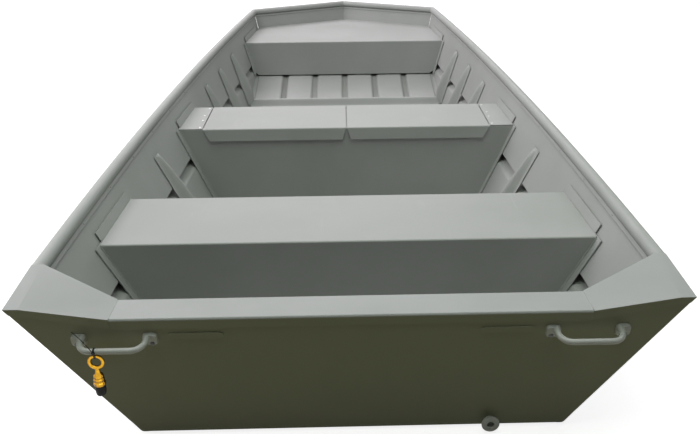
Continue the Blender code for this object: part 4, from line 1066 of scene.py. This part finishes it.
for side, word in SIDES:
    centre = handle_centre(side)
    path = handle_path(centre)
    off_foot = np.clip((path - centre) @ OUT - FOOT_THICKNESS, 0, 1)
    thick = HANDLE_RADIUS * (1 + HANDLE_SWELL * np.exp(-off_foot / HANDLE_SWELL_RUN))
    feet = [handle_foot(placed(centre), end) for end in (-1, 1)]
    make_piece("cast_handle_" + word, joined(bar(placed(path), UP, thick, 20), *feet), "cast",
               ["handle_" + word], smooth=35)
print("handles", HANDLE_SPAN, "m between bars' ends")

# %% [markdown]
# Rivets, bolts and their washers are turned shapes that are repeated many times. One profile of
# radius and height is spun for all of them at once, in arrays, and each copy is turned to the
# direction in which its plate faces.

# %% Rivets and bolts
RIVET_RADIUS = 0.0044
RAIL_RIVET_RADIUS = 0.0032
RAIL_RIVET_PITCH = 0.30
RAIL_RIVET_DROP = 0.0265
RIVET_PROFILE = np.array([(1.0, 0.0), (1.0, 0.12), (0.93, 0.28), (0.75, 0.43), (0.5, 0.52),
                          (0.28, 0.55), (0.22, 0.42), (0.0, 0.40)])
BOLT_PROFILE = np.array([(1.45, 0.0), (1.45, 0.16), (1.38, 0.22), (1.0, 0.22), (1.0, 0.36),
                         (0.92, 0.62), (0.70, 0.86), (0.38, 0.98), (0.0, 1.0)])


def studs(name, places, facings, radius, coat, profile=RIVET_PROFILE, sides=14):
    """Spun copies: a point is its place plus radius times (spokes times r, facing times h)."""
    places = np.atleast_2d(places)
    facings = np.broadcast_to(unit(facings), places.shape)
    first, second = square_to(facings)
    wide, high = circle(sides)
    spoke = first[:, None] * wide[:, None] + second[:, None] * high[:, None]
    rings = (places[:, None, None] + radius * (spoke[:, None] * profile[:, None, :1]
             + facings[:, None, None] * profile[:, None, 1:]))
    count, rows = rings.shape[:2]
    cell = cells(rows, sides, around=True)
    quads = np.concatenate([cell + k * rows * sides for k in range(count)])
    return make_piece(name, (rings.reshape(-1, 3), quads), coat)


bolts = [handle_centre(side) + TO_STARBOARD * end * (HANDLE_SPAN / 2 + BOLT_FROM_BAR)
         - UP * BOLT_DROP + OUT * FOOT_THICKNESS * 1.02 for side in (1, -1) for end in (-1, 1)]
studs("handle_bolts", placed(np.array(bolts)), OUT, BOLT_RADIUS, "bolt", BOLT_PROFILE, sides=20)


def end_plate_rivets():
    """Four bright rivets along the inboard edge of each fixed end plate."""
    low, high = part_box("middle_bench_end_starboard")
    y = low[1] + (high[1] - low[1]) * np.array([0.07, 0.38, 0.60, 0.93])
    x = low[0] + np.array([0.013, 0.016, 0.019, 0.012])
    star = xyz(x, y, high[2])
    return np.concatenate([star, flipped(star, -1)])


studs("end_plate_rivets", end_plate_rivets(), UPRIGHT, RIVET_RADIUS, "rivet")


def rail_rivets():
    """Painted rivets through the gunwale's inner leg, one each 300 mm."""
    y = np.arange(0.45, 3.9, RAIL_RIVET_PITCH)
    out = -(SHEET + SIDE_GAP + RAIL_LEG_THICKNESS)
    full = (sheer_z(y) - keel_z(y)) / np.cos(lean_of(y))
    star = side_point(y, full - RAIL_RIVET_DROP, out)
    facing = side_point(y, full, -1.0) - side_point(y, full, 0.0)
    return [np.concatenate([v, flipped(v, -1)]) for v in (star, facing)]


places, facings = rail_rivets()
studs("gunwale_rivets", placed(places), facings, RAIL_RIVET_RADIUS, "rail")
print("rivets", len(places) + 8)

# %% [markdown]
# The drain plug is stored where it hangs, by a cable tie from the port handle through the plug's
# ring. Ring and stem are brass, and the lower end is a rubber bung that swells when the brass is
# screwed down. Turned parts are profiles in millimetres, spun about a line.

# %% Drain plug and drain tube
PLUG_FROM_HANDLE = 0.039
RING_RADIUS = 0.0172
RING_WIRE = 0.0048
NECK_LENGTH = 0.020
NUT_LENGTH = 0.032
PLUG_SLACK = 0.0015
TIE_WIDTH = 0.0040
TIE_THICKNESS = 0.0014
TIE_TAIL = 0.085
TIE_TAIL_RUN = (-0.50, -0.10, 0.86)
TIE_TAIL_SAG = 0.004
TIE_LOCK = (0.0066, 0.0048)


def spun(profile, start, axis, sides=32, flutes=0, flute_depth=0.0):
    """Rings of a turned part: (distance, radius) in millimetres, with optional cosine flutes."""
    profile = np.asarray(profile, dtype=float) / 1000
    axis = unit(axis)
    first, second = (v[0] for v in square_to(axis[None]))
    a = np.linspace(0, 2 * math.pi, sides, endpoint=False)
    wave = 1 - flute_depth * (0.5 + 0.5 * np.cos(flutes * a))
    spoke = first * (np.cos(a) * wave)[:, None] + second * (np.sin(a) * wave)[:, None]
    return np.asarray(start) + axis * profile[:, None, :1] + spoke[None] * profile[:, None, 1:]


RING_TURN = np.linspace(0, 2 * math.pi, 49)
port = handle_centre(-1)
bar_at = port - TO_STARBOARD * PLUG_FROM_HANDLE + OUT * HANDLE_STANDOFF
hang = HANDLE_RADIUS + RING_WIRE + PLUG_SLACK
wire_at = bar_at - UPRIGHT * hang
ring_at = wire_at - UPRIGHT * RING_RADIUS
neck_at = ring_at - UPRIGHT * RING_RADIUS
ring = ring_at + RING_RADIUS * xyz(np.cos(RING_TURN), 0.0, np.sin(RING_TURN))
thick = RING_WIRE * (1 + 0.10 * np.cos(RING_TURN + math.pi / 2))
ring_rings = swept(ring, TO_BOW, thick)
ring_rings[0] = ring_rings[-1] = (ring_rings[0] + ring_rings[-1]) / 2
neck = [(0, 0), (0, 5.8), (4, 6), (10, 6.4), (16, 7.8), (20, 11.2), (21, 11.8), (21.5, 0)]
nut = [(0, 0), (0, 11.8), (1.5, 12.8), (7.5, 12.8), (9, 11.8), (10.5, 12), (12, 14), (18, 14),
       (19.5, 12.6), (21, 12.8), (23, 15.5), (30, 15.5), (31.5, 14.8), (31.5, 0)]
bung = [(0, 0), (0, 12.2), (1, 13), (8, 13.7), (14, 14), (22, 13.2), (28, 12.2), (30, 10.8), (30, 0)]
nut_top = neck_at - UPRIGHT * (NECK_LENGTH + 0.0005)
brass_parts = [tube_of(placed(part)) for part in
               (ring_rings, spun(neck, neck_at, -UPRIGHT),
                spun(nut, nut_top, -UPRIGHT, 48, 12, 0.05))]
make_piece("plug_brass_body", joined(*brass_parts), "brass", ["drain_plug_brass"], smooth=45)
bung_at = neck_at - UPRIGHT * (NECK_LENGTH + NUT_LENGTH + SEAT_GAP)
make_piece("plug_bung", tube_of(placed(spun(bung, bung_at, -UPRIGHT, 40))), "rubber",
           ["drain_plug_rubber"], smooth=45)


def tie_path():
    """Over the bar and under the ring's wire: two arcs joined by straight runs."""
    over = HANDLE_RADIUS + 2 * SEAT_GAP + TIE_THICKNESS / 2
    under = RING_WIRE + 2 * SEAT_GAP + TIE_THICKNESS / 2
    wrap = math.asin((over - under) / hang)
    a = np.linspace(-wrap, math.pi + wrap, 25)
    b = np.linspace(math.pi + wrap, 2 * math.pi - wrap, 21)
    top = bar_at + over * xyz(0.0, np.cos(a), np.sin(a))
    low = wire_at + under * xyz(0.0, np.cos(b), np.sin(b))
    return np.concatenate([top, low, top[:1]]), bar_at - TO_BOW * over


def strap(path, across, width, thickness):
    """A flat strap: each row is a rectangle, wide along across and thin along the normal."""
    ahead = unit(np.gradient(path, axis=0))
    side = unit(np.broadcast_to(across, path.shape) - ahead * (ahead @ across)[:, None])
    normal = np.cross(ahead, side)
    corners = np.array([(-1, -1), (1, -1), (1, 1), (-1, 1)]) / 2
    return (path[:, None] + side[:, None] * corners[None, :, :1] * width
            + normal[:, None] * corners[None, :, 1:] * thickness)


loop, head_at = tie_path()
loop_rings = strap(loop, TO_STARBOARD, TIE_WIDTH, TIE_THICKNESS)
loop_rings[-1] = loop_rings[0]
tail_run = unit(TIE_TAIL_RUN)
tail = head_at + tail_run * np.linspace(0, TIE_TAIL - 0.003, 14)[:, None]
tail[:, 2] += TIE_TAIL_SAG * np.sin(np.linspace(0, math.pi, 14))
tail_rings = strap(tail, TO_BOW, TIE_WIDTH * 0.62, TIE_THICKNESS * 0.8)
lock = head_at + tail_run * np.linspace(-0.002, 0.004, 4)[:, None]
lock_rings = strap(lock, TO_STARBOARD, *TIE_LOCK)
tie_parts = [tube_of(placed(part)) for part in (loop_rings, tail_rings, lock_rings)]
make_piece("cable_tie_strap", joined(*tie_parts), "nylon", ["cable_tie"], smooth=30)

low, high = (np.array(corner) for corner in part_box("drain_tube"))
drain_at = np.array([(low[0] + high[0]) / 2, low[1], (low[2] + high[2]) / 2])
end = (high[1] - low[1]) * 1000
drain = [(0, 10.8), (0, 20.5), (0.8, 22.5), (2.5, 25.7), (7.5, 25.7), (9, 24.5), (9.6, 15),
         (12, 12.5), (end - 0.8, 12.5), (end, 11.7), (end, 10.5), (end - 0.6, 10), (0.8, 10),
         (0, 10.8)]
make_piece("drain_fitting", tube_of(spun(drain, drain_at, TO_BOW, 48)), "cast", ["drain_tube"])
print("plug hangs from", round(float(bar_at[2]), 3), "m")

# %% [markdown]
# A bow eye takes the trailer's winch hook. It is a round bar bent to a U, with its ends in a strap
# that is shaped to the vee of the bow. It and the hinge pins keep their CAD shape, with their edges
# rounded, because they are small and mostly out of sight.

# %% Bow eye and hinge pins
softened("bow_eye", "hinge", 0.0008)
for node in both("hinge_pin"):
    softened(node, "hinge", 0.0003)

# %% [markdown]
# A weld bead is a row of overlapping ripples, like a stack of coins laid over: here a thin bar whose
# radius goes up and down along its path, painted with the hull. Smooth sealer fills the step beside
# each end flange.

# %% Weld beads
WELD_RADIUS = 0.0021
RIPPLE = 0.0042
BENCH_WELD_RADIUS = 0.0026
SEALER_RADIUS = 0.0033
CAP_WELD_RADIUS = 0.0016
CAP_WELD_Z = 0.4466
BENCH_FACES = ((0.444, 0.393), (1.628, 0.393), (BOW_BENCH_Y, 0.400))
FLANGE_REACH = 0.028
FLANGE_THICKNESS = 0.0035


def weld(path, across, radius=WELD_RADIUS):
    """A bar along a path, resampled evenly, with a sawtooth swell for each ripple."""
    steps = np.linalg.norm(np.diff(path, axis=0), axis=1)
    travelled = np.concatenate([[0], np.cumsum(steps)])
    count = max(8, int(travelled[-1] / RIPPLE * 3))
    at = np.linspace(0, travelled[-1], count)
    even = np.stack([np.interp(at, travelled, path[:, k]) for k in range(3)], axis=-1)
    swell = radius * (0.86 + 0.16 * ((at / RIPPLE) % 1.0))
    return bar(even, across, swell, 8)


def bench_end(front, seat):
    """Upright end of a bench's aft face, where it meets the flange on the hull side."""
    z = np.linspace(float(keel_z(front)) + 0.022, seat - 0.006, 40)
    inset = SHEET + SIDE_GAP + FLANGE_THICKNESS + SEAT_GAP + SHEET * np.sin(lean_of(front))
    return xyz(wall_half(front, z, inset) + 0.0004, front - 0.0008, z)


def flange_edge(front, seat):
    """Aft edge of the end flange's leg on the hull side, where sealer fills the step."""
    z = np.linspace(float(keel_z(front)) + 0.018, seat - 0.002, 40)
    y = front - FLANGE_REACH
    return xyz(wall_half(y, z, SHEET + 0.0013), y, z)


def transom_seam():
    """Where the transom's skin meets the side plate, from the chine up."""
    z = np.linspace(STRAKE_DEPTH + 0.012, SHEER[0] - 0.03, 40)
    y = transom_y(z, SEAT_GAP)
    return xyz(wall_half(y, z) - 0.0008, y, z)


beads = []
for front, seat in BENCH_FACES:
    for side, _ in SIDES:
        end = placed(flipped(bench_end(front, seat), side))
        beads.append(weld(end, TO_BOW, BENCH_WELD_RADIUS))
        seal = placed(flipped(flange_edge(front, seat), side))
        beads.append(bar(seal, TO_BOW, SEALER_RADIUS, 10))
back = 2 * (SHEET + SEAT_GAP)
for side, _ in SIDES:
    beads.append(weld(placed(flipped(transom_seam(), side)), OUT))
    seam = np.array([(CAP_HALF_LENGTH, transom_y(0.447, back) + 0.006, CAP_WELD_Z),
                     (CAP_HALF_LENGTH, CAP_INNER_Y - 0.006, CAP_WELD_Z)])
    beads.append(weld(placed(flipped(seam, side)), UPRIGHT, CAP_WELD_RADIUS))
foot = xyz(np.linspace(-0.58, 0.58, 60), transom_y(STRAKE_DEPTH + 0.001, SEAT_GAP),
           STRAKE_DEPTH + 0.0008)
beads.append(weld(placed(foot), UPRIGHT))
make_piece("weld_beads", joined(*beads), "hull", smooth=70)
print("weld beads", len(beads))
